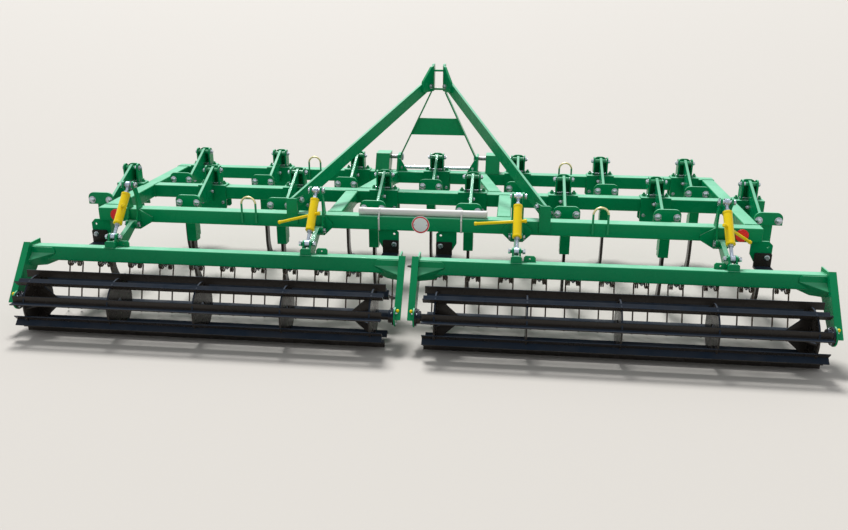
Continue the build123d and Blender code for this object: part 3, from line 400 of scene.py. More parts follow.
# Zinc plating: bright metal whose lustre wanders in small flakes, with a little grey bloom in the dull ones
zinc_bloom, given, leave = new_effect(
    "zinc_bloom",
    {"Bright": (0.8, 0.8, 0.8, 1), "Bloom": (0.5, 0.5, 0.5, 1), "Gloss": 0.3},
    ("Color", "Roughness", "Height"),
)
flake = ramp(zinc_bloom, grain(zinc_bloom, 0.012, 7), 0.35, 0.72)
lead(zinc_bloom, {
    "Color": mixed(zinc_bloom, flake, given["Bright"], given["Bloom"]),
    "Roughness": figured(zinc_bloom, "ADD", product(zinc_bloom, flake, 0.18), given["Gloss"]),
    "Height": grain(zinc_bloom, 0.0015, 3),
}, leave)


def bloomed(tree, bright, bloom, gloss):
    """Plating between these two tones."""
    return effect(tree, zinc_bloom, {"Bright": (*bright, 1), "Bloom": (*bloom, 1), "Gloss": gloss})


def plated(label, bright, bloom, gloss, strength=0.2):
    """Plated or bare metal: bloom in the plating, edges a shade brighter, faint roughness as bump."""
    finish, tree, shader = new_finish(label, {"Metallic": 1.0})
    skin = bloomed(tree, bright, bloom, gloss)
    worn = over(tree, worn_edges, skin, Bare=(0.9, 0.9, 0.9, 1), Width=0.0008, Wear=0.25)
    lead(tree, {"Base Color": worn["Color"], "Roughness": worn["Roughness"],
                "Normal": bumped(tree, skin["Height"], 0.0001, strength, Normal=worn["Normal"])}, shader)
    return finish


zinc_look = (0.52, 0.56, 0.61), (0.32, 0.35, 0.39), 0.24
zinc = plated("bright_zinc", *zinc_look)

# the tower bolts are zinc outside the cheeks and went through the paint shop between them: the distance from
# the unit's middle is a triangle wave of the place across the machine, as the units stand 280 mm apart
cheek_inside = 0.036
pivot_bolt = plated("pivot_bolt", *zinc_look)
tree = pivot_bolt.node_tree
shader = tree.nodes["Principled BSDF"]
from_middle = figured(tree, "PINGPONG", along(tree, "X", own_place(tree)), tine_step / 4)
outside = ramp(tree, from_middle, cheek_inside - 0.0005, cheek_inside + 0.0005)
inner_paint = (0.0, 0.29, 0.105), (0.0, 0.26, 0.095), 0.25
plating = shader.inputs["Base Color"].links[0].from_socket
inner_colour = coated(tree, *inner_paint)["Color"]
lead(tree, {"Base Color": mixed(tree, outside, inner_colour, plating), "Metallic": outside}, shader)
wear_in(pivot_bolt, "tine_pivot_bolts")


def turned(profile, sides=24, bored=False):
    """A turned or hexagonal body about +Z. Each row of the profile is (radius, height, six): the points are
    that far from the axis, and as six goes to 1, on a hexagon whose sides are that far from it. A bored
    body's profile goes on round its bore, and its last ring joins its first."""
    radius, height, six = np.array(profile, float).T[:, :, None]
    turn = full_turn(sides)[None]
    reach = radius * (1 + six * (1 / np.cos(turn % (np.pi / 3) - np.pi / 6) - 1))
    points = np.stack([reach * np.cos(turn), reach * np.sin(turn), height + 0 * turn], -1)
    return (points.reshape(-1, 3), [grid_faces(len(points), sides, True)]) if bored else closed_rings(points)


def set_out(shape, places, ways):
    """Copies of a shape drawn about +Z, one at each place, with its +Z turned along the way given there."""
    points, faces = shape
    places = np.atleast_2d(np.asarray(places, float))
    ways = unit(np.broadcast_to(np.asarray(ways, float), places.shape))
    aside = np.where(np.abs(ways[:, 2:]) > 0.9, (0.0, 1.0, 0.0), (0.0, 0.0, 1.0))
    first = unit(np.cross(aside, ways))
    frames = np.stack([first, np.cross(ways, first), ways], 1)
    copies = places[:, None] + np.einsum("pk,ckd->cpd", points, frames)
    shift = np.arange(len(places))[:, None, None] * len(points)
    return copies.reshape(-1, 3), [(array[None] + shift).reshape(-1, array.shape[1]) for array in faces]


washer_rows = ((1.04, 0, 0), (1.08, 0.04, 0), (1.08, 0.14, 0), (1.03, 0.18, 0), (0.79, 0.18, 1))


def hex_head(size, sides=18):
    """Washer and hexagon head for a bolt of that diameter."""
    rows = (*washer_rows, (0.79, 0.74, 1), (0.76, 0.82, 0.3), (0.5, 0.83, 0))
    return turned(np.array(rows) * (size, size, 1), sides)


def hex_nut(size, stud=0.4, sides=18):
    """Washer, nut and the bolt's end that stands out of it by stud diameters."""
    rows = (*washer_rows, (0.79, 0.93, 1), (0.76, 1.0, 0.3), (0.5, 1.0, 0), (0.5, 0.94 + stud, 0),
            (0.42, 1.0 + stud, 0))
    return turned(np.array(rows) * (size, size, 1), sides)


def bolts(size, heads, nuts, way, stud=0.4, sides=18):
    """Bolts of one size: nuts that face along the way, and heads that face against it."""
    return [set_out(hex_head(size, sides), heads, -way), set_out(hex_nut(size, stud, sides), nuts, way)]


def cup_head(size, sides=20):
    """Cup head of a coach bolt on its washer: a dome that is a flattened quarter of a circle."""
    rise = np.linspace(0, np.pi / 2, 7)[:-1]
    dome = np.stack([1.02 * np.cos(rise), 0.16 + 0.62 * np.sin(rise), 0 * rise], 1)
    rim = np.array([(1.22, 0, 0), (1.26, 0.03, 0), (1.26, 0.12, 0), (1.2, 0.16, 0)])
    return turned(np.concatenate([rim, dome]) * (size, size, 1), sides)


def spread(*offsets):
    """Each offset (right, forward, up) repeated at every tine unit."""
    return (units[:, None] + np.array(offsets, float)).reshape(-1, 3)


def spread_pair(x, y, z):
    """The offset and its mirror image at every tine unit."""
    return spread((-x, y, z), (x, y, z))


def flat_plate(outline, through):
    """A plate with that outline, clockwise as one looks along through, a vector as long as it is thick."""
    outline = np.asarray(outline, float)
    count = len(outline)
    j = np.arange(count)
    beside = (j + 1) % count
    return (np.concatenate([outline, outline + through]),
            [np.stack([j, beside, beside + count, j + count], -1), j[None, ::-1], (j + count)[None]])


# the levers: a round eye on the tower bolt, an upper edge that falls straight towards the tine and levels out
# before the end plate, and a lower edge that clears the beam; the end plate has round shoulders
lever_half, eye_z, eye_reach = 0.008, 0.14, 0.023
end_y, end_wall, end_low, end_half, end_top, shoulder = -0.435, 0.012, 0.012, 0.076, 0.084, 0.034
crown = np.radians(np.arange(115, -1, -11.5))
lever_side = [(eye_reach, 0.064), (-0.051, 0.064), (-0.051, -0.046), (-0.085, -0.046), (-0.372, end_low),
              (end_y, end_low), (end_y, 0.046), (-0.345, 0.020), (-0.325, 0.020), (-0.300, 0.026)]
eye_top = arc((lever_half, 0, eye_z), eye_reach, along_y, along_z, crown)
lever_plate = flat_plate([(lever_half, y, z) for y, z in lever_side] + [*eye_top], -2 * lever_half * along_x)
shoulder_mid, quarter = (end_half - shoulder, end_y, end_top - shoulder), np.radians(np.arange(0, 91, 11.25))
right_half = np.array([(end_half, end_y, end_low), *arc(shoulder_mid, shoulder, along_x, along_z, quarter)])
end_plate = flat_plate([*right_half, *right_half[::-1] * (-1, 1, 1)], -end_wall * along_y)
levers = set_out(joined([lever_plate, end_plate]), units, along_z)
levers = build("levers", levers, green_enamel)
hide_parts("tine_levers")

end_bolts = set_out(cup_head(0.017), spread_pair(0.053, end_y - end_wall, 0.038), -along_y)
build("end_plate_bolts", end_bolts, zinc)

# four bolts hold each clamp: two upright ones through its flange, two level ones under the beam, whose ends
# stand equally far from the beam's middle
clamp_bolt_x, clamp_reach, clamp_bolt_low = 0.068, 0.05, -0.06
flange_nuts = set_out(hex_nut(0.013, 0.7), spread_pair(clamp_bolt_x, 0, clamp_reach), along_z)
build("flange_nuts", flange_nuts, green_enamel)
low_heads, low_middles, low_nuts = (spread_pair(clamp_bolt_x, y, clamp_bolt_low)
                                    for y in (-clamp_reach, 0, clamp_reach))
low_shank = set_out(turned([(0.005, -clamp_reach, 0), (0.005, clamp_reach, 0)], 8), low_middles, along_y)
build("clamp_bolts", joined([*bolts(0.010, low_heads, low_nuts, along_y, sides=12), low_shank]), zinc)

# the safety bolt through the lever behind the beam, its nut on the left, and the pin across the tower's foot
safety_heads, safety_nuts = (spread((x, -0.068, 0.016)) for x in (lever_half, -lever_half))
safety_bolts = bolts(0.012, safety_heads, safety_nuts, -along_x, 0.5)
foot_pin = spread((0, -0.02, 0.062))
safety_bolts += [set_out(turned([(0.004, -0.054, 0), (0.004, 0.054, 0)], 8), foot_pin, along_x),
                 set_out(turned([(0.0065, -0.054, 0), (0.0065, -0.050, 0)], 10), foot_pin, along_x)]
build("lever_safety_bolts", joined(safety_bolts), zinc)

# each tower bolt has washers outside its cheeks, each holder two bolts that pinch the shank from the front
washer = turned([(0.0155, 0, 0), (0.0165, 0.0006, 0), (0.0165, 0.0024, 0), (0.0155, 0.003, 0)], 18)
both_sides = (-1, 1)
bolt_ends = [set_out(washer, spread((side * 0.048, 0, eye_z)), side * along_x) for side in both_sides]
holder_front = end_y + 0.06 + 0.014
bolt_ends += [set_out(hex_head(0.012), spread((0, holder_front, -0.171), (0, holder_front, -0.131)), along_y)]
build("tower_washers_and_holder_bolts", joined(bolt_ends), zinc)

# fillet welds at the foot of the tower's cheeks
cheek_feet = [weld([(x, -0.029, 0.0505), (x, 0.029, 0.0505)], 0.007, step=0.003) for x in (-0.05, 0.05)]
build("tower_welds", set_out(joined(cheek_feet), units, along_z), green_enamel)

# Shanks and sweeps. The shanks are forged spring steel with black paint, which carries a painted bluish
# reflection of the sky on all faces that look up at all, and whose brown-black holds a painted reflection of
# the ground; the sweeps are hardened steel as it left the press, blue-grey with scale.
black_paint = painted("black_paint", (0.030, 0.025, 0.021), (0.022, 0.019, 0.016), 0.24, (0.16, 0.15, 0.14),
                      0.3, 0.95, (0.006, 0.016, 0.032), {"Specular IOR Level": 0.22}, start=0.0, full=0.4)
wear_in(black_paint, "tine_shanks")
pressed_steel = plated("pressed_steel", (0.20, 0.21, 0.23), (0.10, 0.095, 0.09), 0.42, 0.6)
wear_in(pressed_steel, "tine_sweeps")

# Lower hitch. Two sloping boxes and two inner plates of thick steel stand on the front beam; a dark pin joins
# each pair for the lower link's ball, and a bright cross shaft ties the plates together.
wear_in(green_enamel, "hitch_boxes", "hitch_plates")
dark_steel = plated("oiled_pin_steel", (0.30, 0.30, 0.31), (0.16, 0.155, 0.15), 0.3)
wear_in(dark_steel, "hitch_pins")
wear_in(zinc, "hitch_shaft")
box_front, plate_low = front_y + 0.04, 0.478
hitch_beads = []
for x in (0.269, 0.284, 0.337, 0.433):
    hitch_beads += [weld([(x, front_y - 0.03, beam_top), (x, box_front, beam_top)]),
                    weld([(x, box_front, beam_top), (x, box_front, plate_low)])]
build("hitch_welds", mirrored(*hitch_beads), green_enamel)

# a linch pin with its sprung ring holds each hitch pin beside the inner plate
linch_x, pin_y, pin_z, ring_radius = 0.256, 0.975, 0.625, 0.021
linch_ring = arc((linch_x - 0.004, pin_y, pin_z), ring_radius, along_z, along_y, full_turn(28))
linch_washer = turned([(0.019, 0, 0), (0.0215, 0.001, 0), (0.0215, 0.003, 0), (0.019, 0.004, 0)])
linch = [tube(linch_ring, 0.0021, 8, True),
         tube([(linch_x, pin_y, pin_z - 0.025), (linch_x, pin_y, pin_z + 0.025)], 0.0042, 10),
         set_out(linch_washer, [(0.2685, pin_y, pin_z)], -along_x)]
build("linch_pins", mirrored(*linch), zinc)

# Mast. Two head plates hold the top link and bend outward to lie against the flat struts, thin legs go down to
# the hitch plates, and everything is bolted and welded from green plate with zinc bolts.
wear_in(green_enamel, "mast_head", "mast_spacers", "mast_legs", "mast_cross_plate", "mast_struts",
        "strut_brackets")
bend_y, head_face = 0.925, 0.045
strut_x, strut_wall, bracket_wall, rear_face = 0.711, 0.015, 0.010, rear_y - beam_side / 2
strut_in, strut_back = strut_x - head_face, bend_y - rear_face
splay = math.acos(strut_wall / 2 / math.hypot(strut_in, strut_back)) - math.atan2(strut_back, strut_in)
wing_way = np.array([math.sin(splay), -math.cos(splay), 0])
wing_out = np.array([math.cos(splay), math.sin(splay), 0])
wing_bolt = wing_way * 0.034 + (head_face, bend_y, 1.13)
cheek_bolt = np.array([strut_x, rear_face, beam_top + 0.072]) - wing_way * 0.058
spacer_ends = [(head_face, 0.933, 1.231), (head_face, 0.937, 1.107)]
half_strut, half_with_cheek = wing_out * strut_wall / 2, wing_out * (strut_wall / 2 + bracket_wall)
mast_bolts = [set_out(hex_nut(0.013, 0.3), spacer_ends, along_x)]
mast_bolts += bolts(0.016, wing_bolt - 2 * half_strut, wing_bolt + 2 * half_strut, wing_out)
mast_bolts += bolts(0.016, cheek_bolt - half_with_cheek, cheek_bolt + half_strut, wing_out)
build("mast_bolts", mirrored(*mast_bolts), zinc)

# welds where the cross plate meets the legs, whose inner faces lean in, and round the brackets' feet
leg_heights, leg_faces = (0.64, 1.085), (0.259, head_face)
bracket_x, bracket_low = (0.68, 0.742), 0.485
mast_beads = [weld([(np.interp(z, leg_heights, leg_faces), y, z) for z in (0.795, 0.91)], 0.006)
              for y in (front_y + 0.036, front_y + 0.046)]
mast_beads += [weld([(x, rear_face, bracket_low), (x, rear_face, beam_top)], 0.006) for x in bracket_x]
mast_beads += [weld([(x, rear_face, bracket_low) for x in bracket_x], 0.006)]
build("mast_welds", mirrored(*mast_beads), green_enamel)

# Rear beam fittings. Bent rod lifting eyes, yellow-passivated above and painted green where they are welded
# on, red round reflectors, a blank white sign with a red rim, and a white tube for papers held by two ties.
eye_finish, tree, shader = new_finish("lifting_eye_rod", {})
ragged = figured(tree, "ADD", along(tree, "Z", own_place(tree)), product(tree, grain(tree, 0.01, 4), 0.012))
bared = ramp(tree, ragged, 0.603, 0.606)
skin = bloomed(tree, (0.74, 0.66, 0.36), (0.55, 0.48, 0.26), 0.34)
colour = mixed(tree, bared, coated(tree, *inner_paint)["Color"], skin["Color"])
lead(tree, {"Base Color": colour, "Metallic": product(tree, bared, 0.9), "Roughness": skin["Roughness"],
            "Normal": bumped(tree, skin["Height"], 0.0001, 0.3)}, shader)
wear_in(eye_finish, "lifting_eyes")

# the reflectors' red lens has small prisms in rows behind a smooth face
red_lens, tree, shader = new_finish("red_lens", {"Coat Weight": 0.3, "Coat Roughness": 0.04, "Roughness": 0.3,
                                                 "Specular IOR Level": 0.2})
prism_links = {"Vector": own_place(tree), "Scale": 260.0, "Randomness": 0.05}
prisms = put(tree, "ShaderNodeTexVoronoi", prism_links).outputs["Distance"]
red = mixed(tree, ramp(tree, prisms, 0.1, 0.6), (0.92, 0.010, 0.022, 1), (0.78, 0.006, 0.014, 1))
lead(tree, {"Base Color": red, "Normal": bumped(tree, prisms, 0.0006, 0.5)}, shader)
wear_in(red_lens, "reflectors")
reflector_x, rim_radius = side_rail_x - 0.068, 0.0335
rim_middle = (reflector_x, rear_face - 0.0075, beam_mid)
lens_rim = arc(rim_middle, rim_radius, along_x, along_z, full_turn(48))
build("reflector_rims", mirrored(tube(lens_rim, 0.0015, 8, True)), red_lens)

# white parts: moulded tube, its end stoppers and ties, and the painted sign
white_plastic, tree, shader = new_finish("white_plastic", {"IOR": 1.46})
coat = coated(tree, (0.70, 0.69, 0.66), (0.65, 0.64, 0.61), 0.38)
with_dust_and_sheen = over(tree, dust_and_sheen, coat, Amount=0.15)
lead(tree, {"Base Color": with_dust_and_sheen["Color"], "Roughness": with_dust_and_sheen["Roughness"],
            "Normal": bumped(tree, coat["Height"], 0.0001, 0.2)}, shader)
wear_in(white_plastic, "document_tube")
tube_low, tube_high = -0.331, 0.39
tube_z, tube_radius = beam_top + 0.02, 0.02
stopper = turned([(0.0208, -0.022, 0), (0.0214, -0.021, 0), (0.0214, 0.0, 0), (0.0205, 0.0022, 0),
                  (0.017, 0.003, 0), (0.0165, 0.0015, 0)], 32)
stoppers = set_out(stopper, [(tube_low, rear_y, tube_z), (tube_high, rear_y, tube_z)], [-along_x, along_x])
build("tube_stoppers", stoppers, white_plastic)

tie_x, tie_half, tie_wall, tie_gap, tie_bend = (-0.215, 0.25), 0.0045, 0.0016, 0.001, 0.006


def tie(x):
    """A plastic tie pulled round tube and beam: a flat band that lies just outside the round top of the tube,
    the beam's two faces and its bottom, and is as thick everywhere."""
    over = np.linspace(0, np.pi, 17)
    reach = tube_radius + tie_gap
    hoop = arc((0, rear_y, tube_z), reach, along_y, along_z, over)[:, 1:]
    side, low = beam_side / 2 + tie_gap, beam_mid - beam_side / 2 - tie_gap
    around_beam = [(-side, beam_top - tie_bend), (-side, low + tie_bend), (-side + tie_bend, low),
                   (side - tie_bend, low), (side, low + tie_bend), (side, beam_top - tie_bend)]
    belt = np.concatenate([hoop, np.array(around_beam) + (rear_y, 0)])
    outward = unit(belt - (rear_y, beam_mid + 0.02))
    section = np.array([(-tie_half, 0), (tie_half, 0), (tie_half, tie_wall), (-tie_half, tie_wall)])
    points = np.empty((len(belt), 4, 3))
    points[:, :, 0] = x + section[:, 0]
    points[:, :, 1:] = belt[:, None] + section[:, 1][None, :, None] * outward[:, None]
    return points.reshape(-1, 3), [grid_faces(len(belt), 4, True)]


lock = turned([(0.0045, 0, 1), (0.0052, 0.001, 1), (0.0052, 0.006, 1), (0.0042, 0.007, 1)], 12)
locks = set_out(lock, [(x, rear_face - tie_gap, beam_top - 0.012) for x in tie_x], -along_y)
build("tube_ties", joined([*(tie(x) for x in tie_x), locks]), white_plastic, smooth_under=50)

sign_x = 0.022
sign_paint, tree, shader = new_finish("sign_white_and_red", {"Coat Weight": 0.3, "Roughness": 0.35})
flat_place = {"Vector": own_place(tree), "Location": (-sign_x, 0, -beam_mid), "Scale": (1, 0, 1)}
centred = put(tree, "ShaderNodeMapping", flat_place).outputs[0]
away = put(tree, "ShaderNodeVectorMath", {0: centred}, operation="LENGTH").outputs["Value"]
ring = product(tree, ramp(tree, away, 0.0400, 0.0408), ramp(tree, away, 0.0483, 0.0475))
white = coated(tree, (0.90, 0.90, 0.90), (0.86, 0.86, 0.86), 0.3)["Color"]
lead(tree, {"Base Color": mixed(tree, ring, white, (0.80, 0.015, 0.03, 1))}, shader)
wear_in(sign_paint, "sign_plate")
sign_studs = set_out(turned([(0.0042, 0, 0), (0.004, 0.001, 0), (0.0026, 0.0018, 0)], 12),
                     [(sign_x + side * 0.036, rear_face - 0.002, beam_mid) for side in both_sides], -along_y)
build("sign_rivets", sign_studs, zinc)

# Linkage. Four pairs of cut-plate ears with pins carry the roller frames and their turnbuckles. The pins are
# zinc with a head on one side and a washer and split pin on the other; fillets run down ears and foot plates.
wear_in(green_enamel, "linkage_ears")
wear_in(zinc, "linkage_pins")
link_x = {"far_left": -1.655, "near_left": -tine_step, "near_right": tine_step, "far_right": 1.655}
ear_outside = 0.033
upper_pin = np.array([0, rear_face - 0.03, beam_top + 0.148])
lower_pin = np.array([0, rear_face - 0.034, beam_top - 0.082])
lug_pin = np.array([0, rear_face - 0.27, beam_top - 0.089])


def split_pin(at, radius):
    """A split pin through a bar of that radius along X: an eye above and two legs bent apart below."""
    eye_turn = np.linspace(-0.4 * np.pi, 1.4 * np.pi, 12)
    eye = arc((0, 0, radius + 0.0055), 0.0035, along_x, along_z, eye_turn)
    leg = np.array([(0.001, 0, radius), (0.001, 0, -radius), (0.002, 0.002, -radius - 0.004),
                    (0.005, 0.005, -radius - 0.008)])
    return tube(np.concatenate([leg[::-1], eye, leg * (-1, -1, 1)]) + at, 0.0011, 6)


pin_washer = turned([(0.016, 0, 0), (0.0165, 0.0008, 0), (0.0165, 0.0025, 0), (0.016, 0.003, 0)], 20)
pin_head = turned([(0.0145, 0, 0), (0.015, 0.001, 0), (0.015, 0.007, 0), (0.013, 0.0085, 0)], 20)
pin_ends, ear_beads = [], []
for x in link_x.values():
    for pin in (upper_pin + (x, 0, 0), lower_pin + (x, 0, 0)):
        outward = np.array([-along_x, along_x])
        pin_ends += [set_out(pin_washer, pin + ear_outside * outward, outward),
                     set_out(pin_head, pin + (ear_outside + 0.005) * along_x, along_x),
                     split_pin(pin - (ear_outside + 0.0075) * along_x, 0.0102)]
    ear_beads += [weld([(x + side * 0.0335, rear_face - 0.0105, z) for z in (beam_top - 0.005, 0.452)], 0.007)
                  for side in both_sides]
    ear_beads += [weld([(x + side * 0.03, rear_face, 0.466) for side in both_sides], 0.006)]
build("linkage_pin_ends", joined(pin_ends), zinc)
build("linkage_welds", joined(ear_beads), green_enamel)

# Turnbuckles. A yellow barrel with its tommy bar between two zinc-plated threaded rods with round eyes, locked
# by zinc jam nuts. The thread shows on the rods beside the nuts.
# the pale lemon film on the faces that look up is a little dust together with a painted highlight of the sun
yellow_enamel = painted("yellow_enamel", (0.90, 0.66, 0.001), (0.85, 0.60, 0.001), 0.26, (0.35, 0.33, 0.3),
                        0.5, 0.15, (0.92, 0.82, 0.06),
                        {"Coat Weight": 0.06, "Coat Roughness": 0.06, "Specular IOR Level": 0.2})
link_way = unit(lug_pin - upper_pin)

# Thread: ridges across a rod, from a triangle wave of the way gone along it over the pitch
screw_thread, given, leave = new_effect("screw_thread", {"Along": (0, 0, 1), "Pitch": 0.0025}, ("Height",))
gone = put(screw_thread, "ShaderNodeVectorMath", {0: own_place(screw_thread), 1: given["Along"]},
           operation="DOT_PRODUCT").outputs["Value"]
turns = figured(screw_thread, "DIVIDE", gone, given["Pitch"])
lead(screw_thread, {"Height": figured(screw_thread, "PINGPONG", turns, 0.5)}, leave)

threaded_zinc = plated("threaded_zinc", (0.40, 0.46, 0.54), (0.24, 0.28, 0.34), 0.26)
tree = threaded_zinc.node_tree
shader = tree.nodes["Principled BSDF"]
thread = effect(tree, screw_thread, {"Along": tuple(float(part) for part in link_way)})
plated_normal = shader.inputs["Normal"].links[0].from_socket
lead(tree, {"Normal": bumped(tree, thread["Height"], 0.0012, 0.6, Normal=plated_normal)}, shader)
for name in link_x:
    wear_in(threaded_zinc, name + "_upper_rod", name + "_lower_rod")

# each barrel is bored for the rods and has a raised collar at both ends; its tommy bar with two knobs stands
# out of its middle: angle from the machine's right, how far it reaches on that side and on the other
barrel_start, barrel_long, collar_long = 0.058, 0.198, 0.012
mouth_radius, collar_radius, barrel_radius, bore_radius = 0.0205, 0.0250, 0.0235, 0.0094
half_sleeve = [(bore_radius, 0, 0), (mouth_radius, 0, 0), (collar_radius, 0.002, 0),
               (collar_radius, collar_long, 0), (barrel_radius, collar_long + 0.001, 0)]
other_half = [(radius, barrel_long - z, 0) for radius, z, six in half_sleeve[::-1]]
sleeve = turned(half_sleeve + other_half, 32, bored=True)
tommy_bars = {"far_left": (-120, 0.090, 0.028), "near_left": (205, 0.215, 0.030),
              "near_right": (190, 0.215, 0.030), "far_right": (-45, 0.190, 0.030)}
bar_radius, knob_radius = 0.0080, 0.0105
across_link = np.cross(link_way, along_x)
for name, (angle, long_end, short_end) in tommy_bars.items():
    start = upper_pin + link_x[name] * along_x + barrel_start * link_way
    bar_way = math.cos(math.radians(angle)) * along_x + math.sin(math.radians(angle)) * across_link
    barrel = [set_out(sleeve, [start], link_way)]
    for end, way in ((long_end, bar_way), (short_end, -bar_way)):
        bar_rows = [(bar_radius, 0.012, 0), (bar_radius, end + 0.005, 0), (knob_radius, end + 0.008, 0),
                    (knob_radius, end + 0.018, 0), (0.0085, end + 0.020, 0)]
        barrel += [set_out(turned(bar_rows, 16), [start + link_way * barrel_long / 2], way)]
    body = name + "_turnbuckle"
    barrel = build(body + "_barrel", joined(barrel), yellow_enamel, body)
    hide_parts(name + "_barrel")

# Roller frames. One beam each side between two side arms with a flange down their backs, tied by bent corner
# plates, carried on tapered arms. Flange bearings hold the rollers. Green enamel all over, black bearings.
frame_tip = math.radians(6)
forward_way = np.array([0, math.cos(frame_tip), -math.sin(frame_tip)])
up_way = np.array([0, math.sin(frame_tip), math.cos(frame_tip)])
roller_beam = np.array([0, rear_face - 0.296, 0.365])
roller_axis = np.array([0, rear_face - 0.52, 0.16088])
arm_in, arm_out, arm_wall = 0.053, frame_end + 0.233, 0.008


def tipped(x, forward, up):
    """Point of the roller frame: to the right, forward and up from its beam's middle."""
    return roller_beam + (x, 0, 0) + forward * forward_way + up * up_way


# flange bearings: four small bolts through each side arm, and a grease nipple on the housing
bolt_ring = arc(roller_axis, 0.040, along_y, along_z, full_turn(4) + np.pi / 4)
nipple = turned([(0.004, 0, 1), (0.004, 0.003, 1), (0.0025, 0.004, 0), (0.0025, 0.007, 0), (0.0032, 0.009, 0),
                 (0.0022, 0.012, 0)], 12)
bearing_bolts = []
for x, way in ((arm_in, -1), (arm_out, 1)):
    heads, nuts = bolt_ring + (x - way * 0.010, 0, 0), bolt_ring + (x + way * arm_wall, 0, 0)
    bearing_bolts += bolts(0.006, heads, nuts, way * along_x, sides=12)
    bearing_bolts += [set_out(nipple, [roller_axis + (x - way * 0.02, 0, 0.034)], along_z)]

# a grease cap low on each side arm's flange, in the middle of its width
flange_top, flange_low = tipped(0, -0.05, 0.058), np.array([0, rear_face - 0.558, roller_axis[2] - 0.005])
down_flange = unit(flange_low - flange_top)
flange_normal = np.array([0, down_flange[2], -down_flange[1]])
cap_middle = flange_low - down_flange * 0.048 + flange_normal * 0.008
cap_places = [cap_middle + (x, 0, 0) for x in (arm_in - 0.018, arm_out + 0.018)]
grease_cap = turned([(0.0085, 0, 0), (0.0088, 0.001, 0), (0.008, 0.004, 0), (0.005, 0.0065, 0),
                     (0.002, 0.0075, 0)], 20)


def corner_plate(x, toward):
    """Bent plate in the corner of beam and side arm: an upper plate on the beam's rear face, a facet that
    slopes down along the arm, and a skirt back under the beam. Its points say how far along the beam from
    the arm, how far behind the beam's face, and how high."""
    wall, crease, heel = 0.006, (0.132, 0.006, 0.002), (0, 0.048, -0.035)
    facets = ([(0, 0, 0), (0.132, 0, 0), (0.132, 0, 0.020), (0.118, 0, 0.034), (0, 0, 0.034)],
              [(0, 0.006, 0.002), crease, heel],
              [heel, crease, (0.150, -0.0413, -0.038), (0.066, -0.024, -0.072), (0, 0.014, -0.072)])
    plates = []
    for points in facets:
        at = np.array([tipped(x + toward * inward, -beam_side / 2 - behind, up)
                       for inward, behind, up in points])
        through = unit(np.cross(at[1] - at[0], at[2] - at[0])) * toward * wall
        plates += [flat_plate(at[::toward], through)]
    return plates


def link_beads(x):
    """Fillets round the foot of a linkage arm and beside a lug on the roller beam."""
    arm_foot = ((-0.012, -0.034), (-0.012, 0.036), (0.012, 0.036), (0.012, -0.034))
    arm = [tipped(x + aside, 0.0405, up) for aside, up in arm_foot]
    lug = [tipped(x + aside, -0.044, 0.0405) for aside in (-0.029, 0.029)]
    return [weld(arm, 0.007, True), weld(lug, 0.006)]


corner_plates = joined(corner_plate(arm_in, 1) + corner_plate(arm_out, -1))
arm_beads = [weld(round_square(tipped(x, 0, 0), forward_way, up_way), 0.007, True) for x in (arm_in, arm_out)]
named_sides = (("left", -1), ("right", 1))
for side, sign in named_sides:
    wear_in(green_enamel, f"{side}_roller_beam", f"{side}_side_arms", f"{side}_linkage_arms", f"{side}_lugs")
    wear_in(black_paint, f"{side}_bearings", f"{side}_roller")
    body = f"{side}_roller_frame"
    plates = build(f"{side}_corner_plates", on_side(corner_plates, sign), green_enamel, body)
    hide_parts(f"{side}_gussets")
    build(f"{side}_bearing_bolts", on_side(joined(bearing_bolts), sign), zinc, body)
    caps = set_out(grease_cap, cap_places, flange_normal)
    build(f"{side}_grease_caps", on_side(caps, sign), yellow_enamel, body)
    own_links = [abs(x) for x in link_x.values() if x * sign > 0]
    beads = arm_beads + [bead for x in own_links for bead in link_beads(x)]
    build(f"{side}_roller_frame_welds", on_side(joined(beads), sign), green_enamel, body)
    heads, nuts = ([lug_pin + (x + step * 0.032, 0, 0) for x in own_links] for step in (-1, 1))
    lug_bolts = bolts(0.0145, heads, nuts, along_x, -0.35)
    build(f"{side}_lug_bolt_ends", on_side(joined(lug_bolts), sign), zinc, body)

# Cage rollers. Eight angle bars lie with their corners in the rims of five discs; a weld runs down the back of
# each leg of a bar on both faces of each disc.
disc_half = 0.004
disc_x = np.linspace(arm_in + 0.110, arm_out - 0.110, 5)
bar_turns = np.radians(29 + 45 * np.arange(8))
back_corner = np.array([0.1259, 0.0035])
cage_beads = []
for turn in bar_turns:
    outward = np.array([0, math.cos(turn), math.sin(turn)])
    around = np.array([0, -math.sin(turn), math.cos(turn)])
    for lean, reach in ((math.radians(15), 0.014), (math.radians(-75), 0.034)):
        tip = back_corner + reach * np.array([math.cos(lean), math.sin(lean)])
        ends = [roller_axis + outward * out + around * aside for out, aside in (back_corner, tip)]
        cage_beads += [weld([end + (x, 0, 0) for end in ends], 0.007, step=0.003)
                       for x in np.concatenate([disc_x - disc_half, disc_x + disc_half])]
for side, sign in named_sides:
    cage_welds = on_side(joined(cage_beads), sign)
    build(f"{side}_cage_welds", cage_welds, black_paint, f"{side}_roller_cage")

# Harrow. Black arms on green hangers carry a square bar each side with double spring tines: one wire that goes
# down in two legs from two coils, joined by a bridge that is clamped under the bar.
wear_in(green_enamel, "harrow_hangers")
wear_in(black_paint, "harrow_arms", "harrow_bars")
spring_steel = plated("browned_spring_wire", (0.16, 0.13, 0.11), (0.07, 0.055, 0.045), 0.4, 0.4)
harrow_y, bar_low, bar_top = rear_face - 0.19, 0.285, 0.315
coil_radius, wire = 0.0148, 0.0043
coil_z = bar_low - wire - coil_radius
leg_x, bridge_x = 0.039, 0.0155


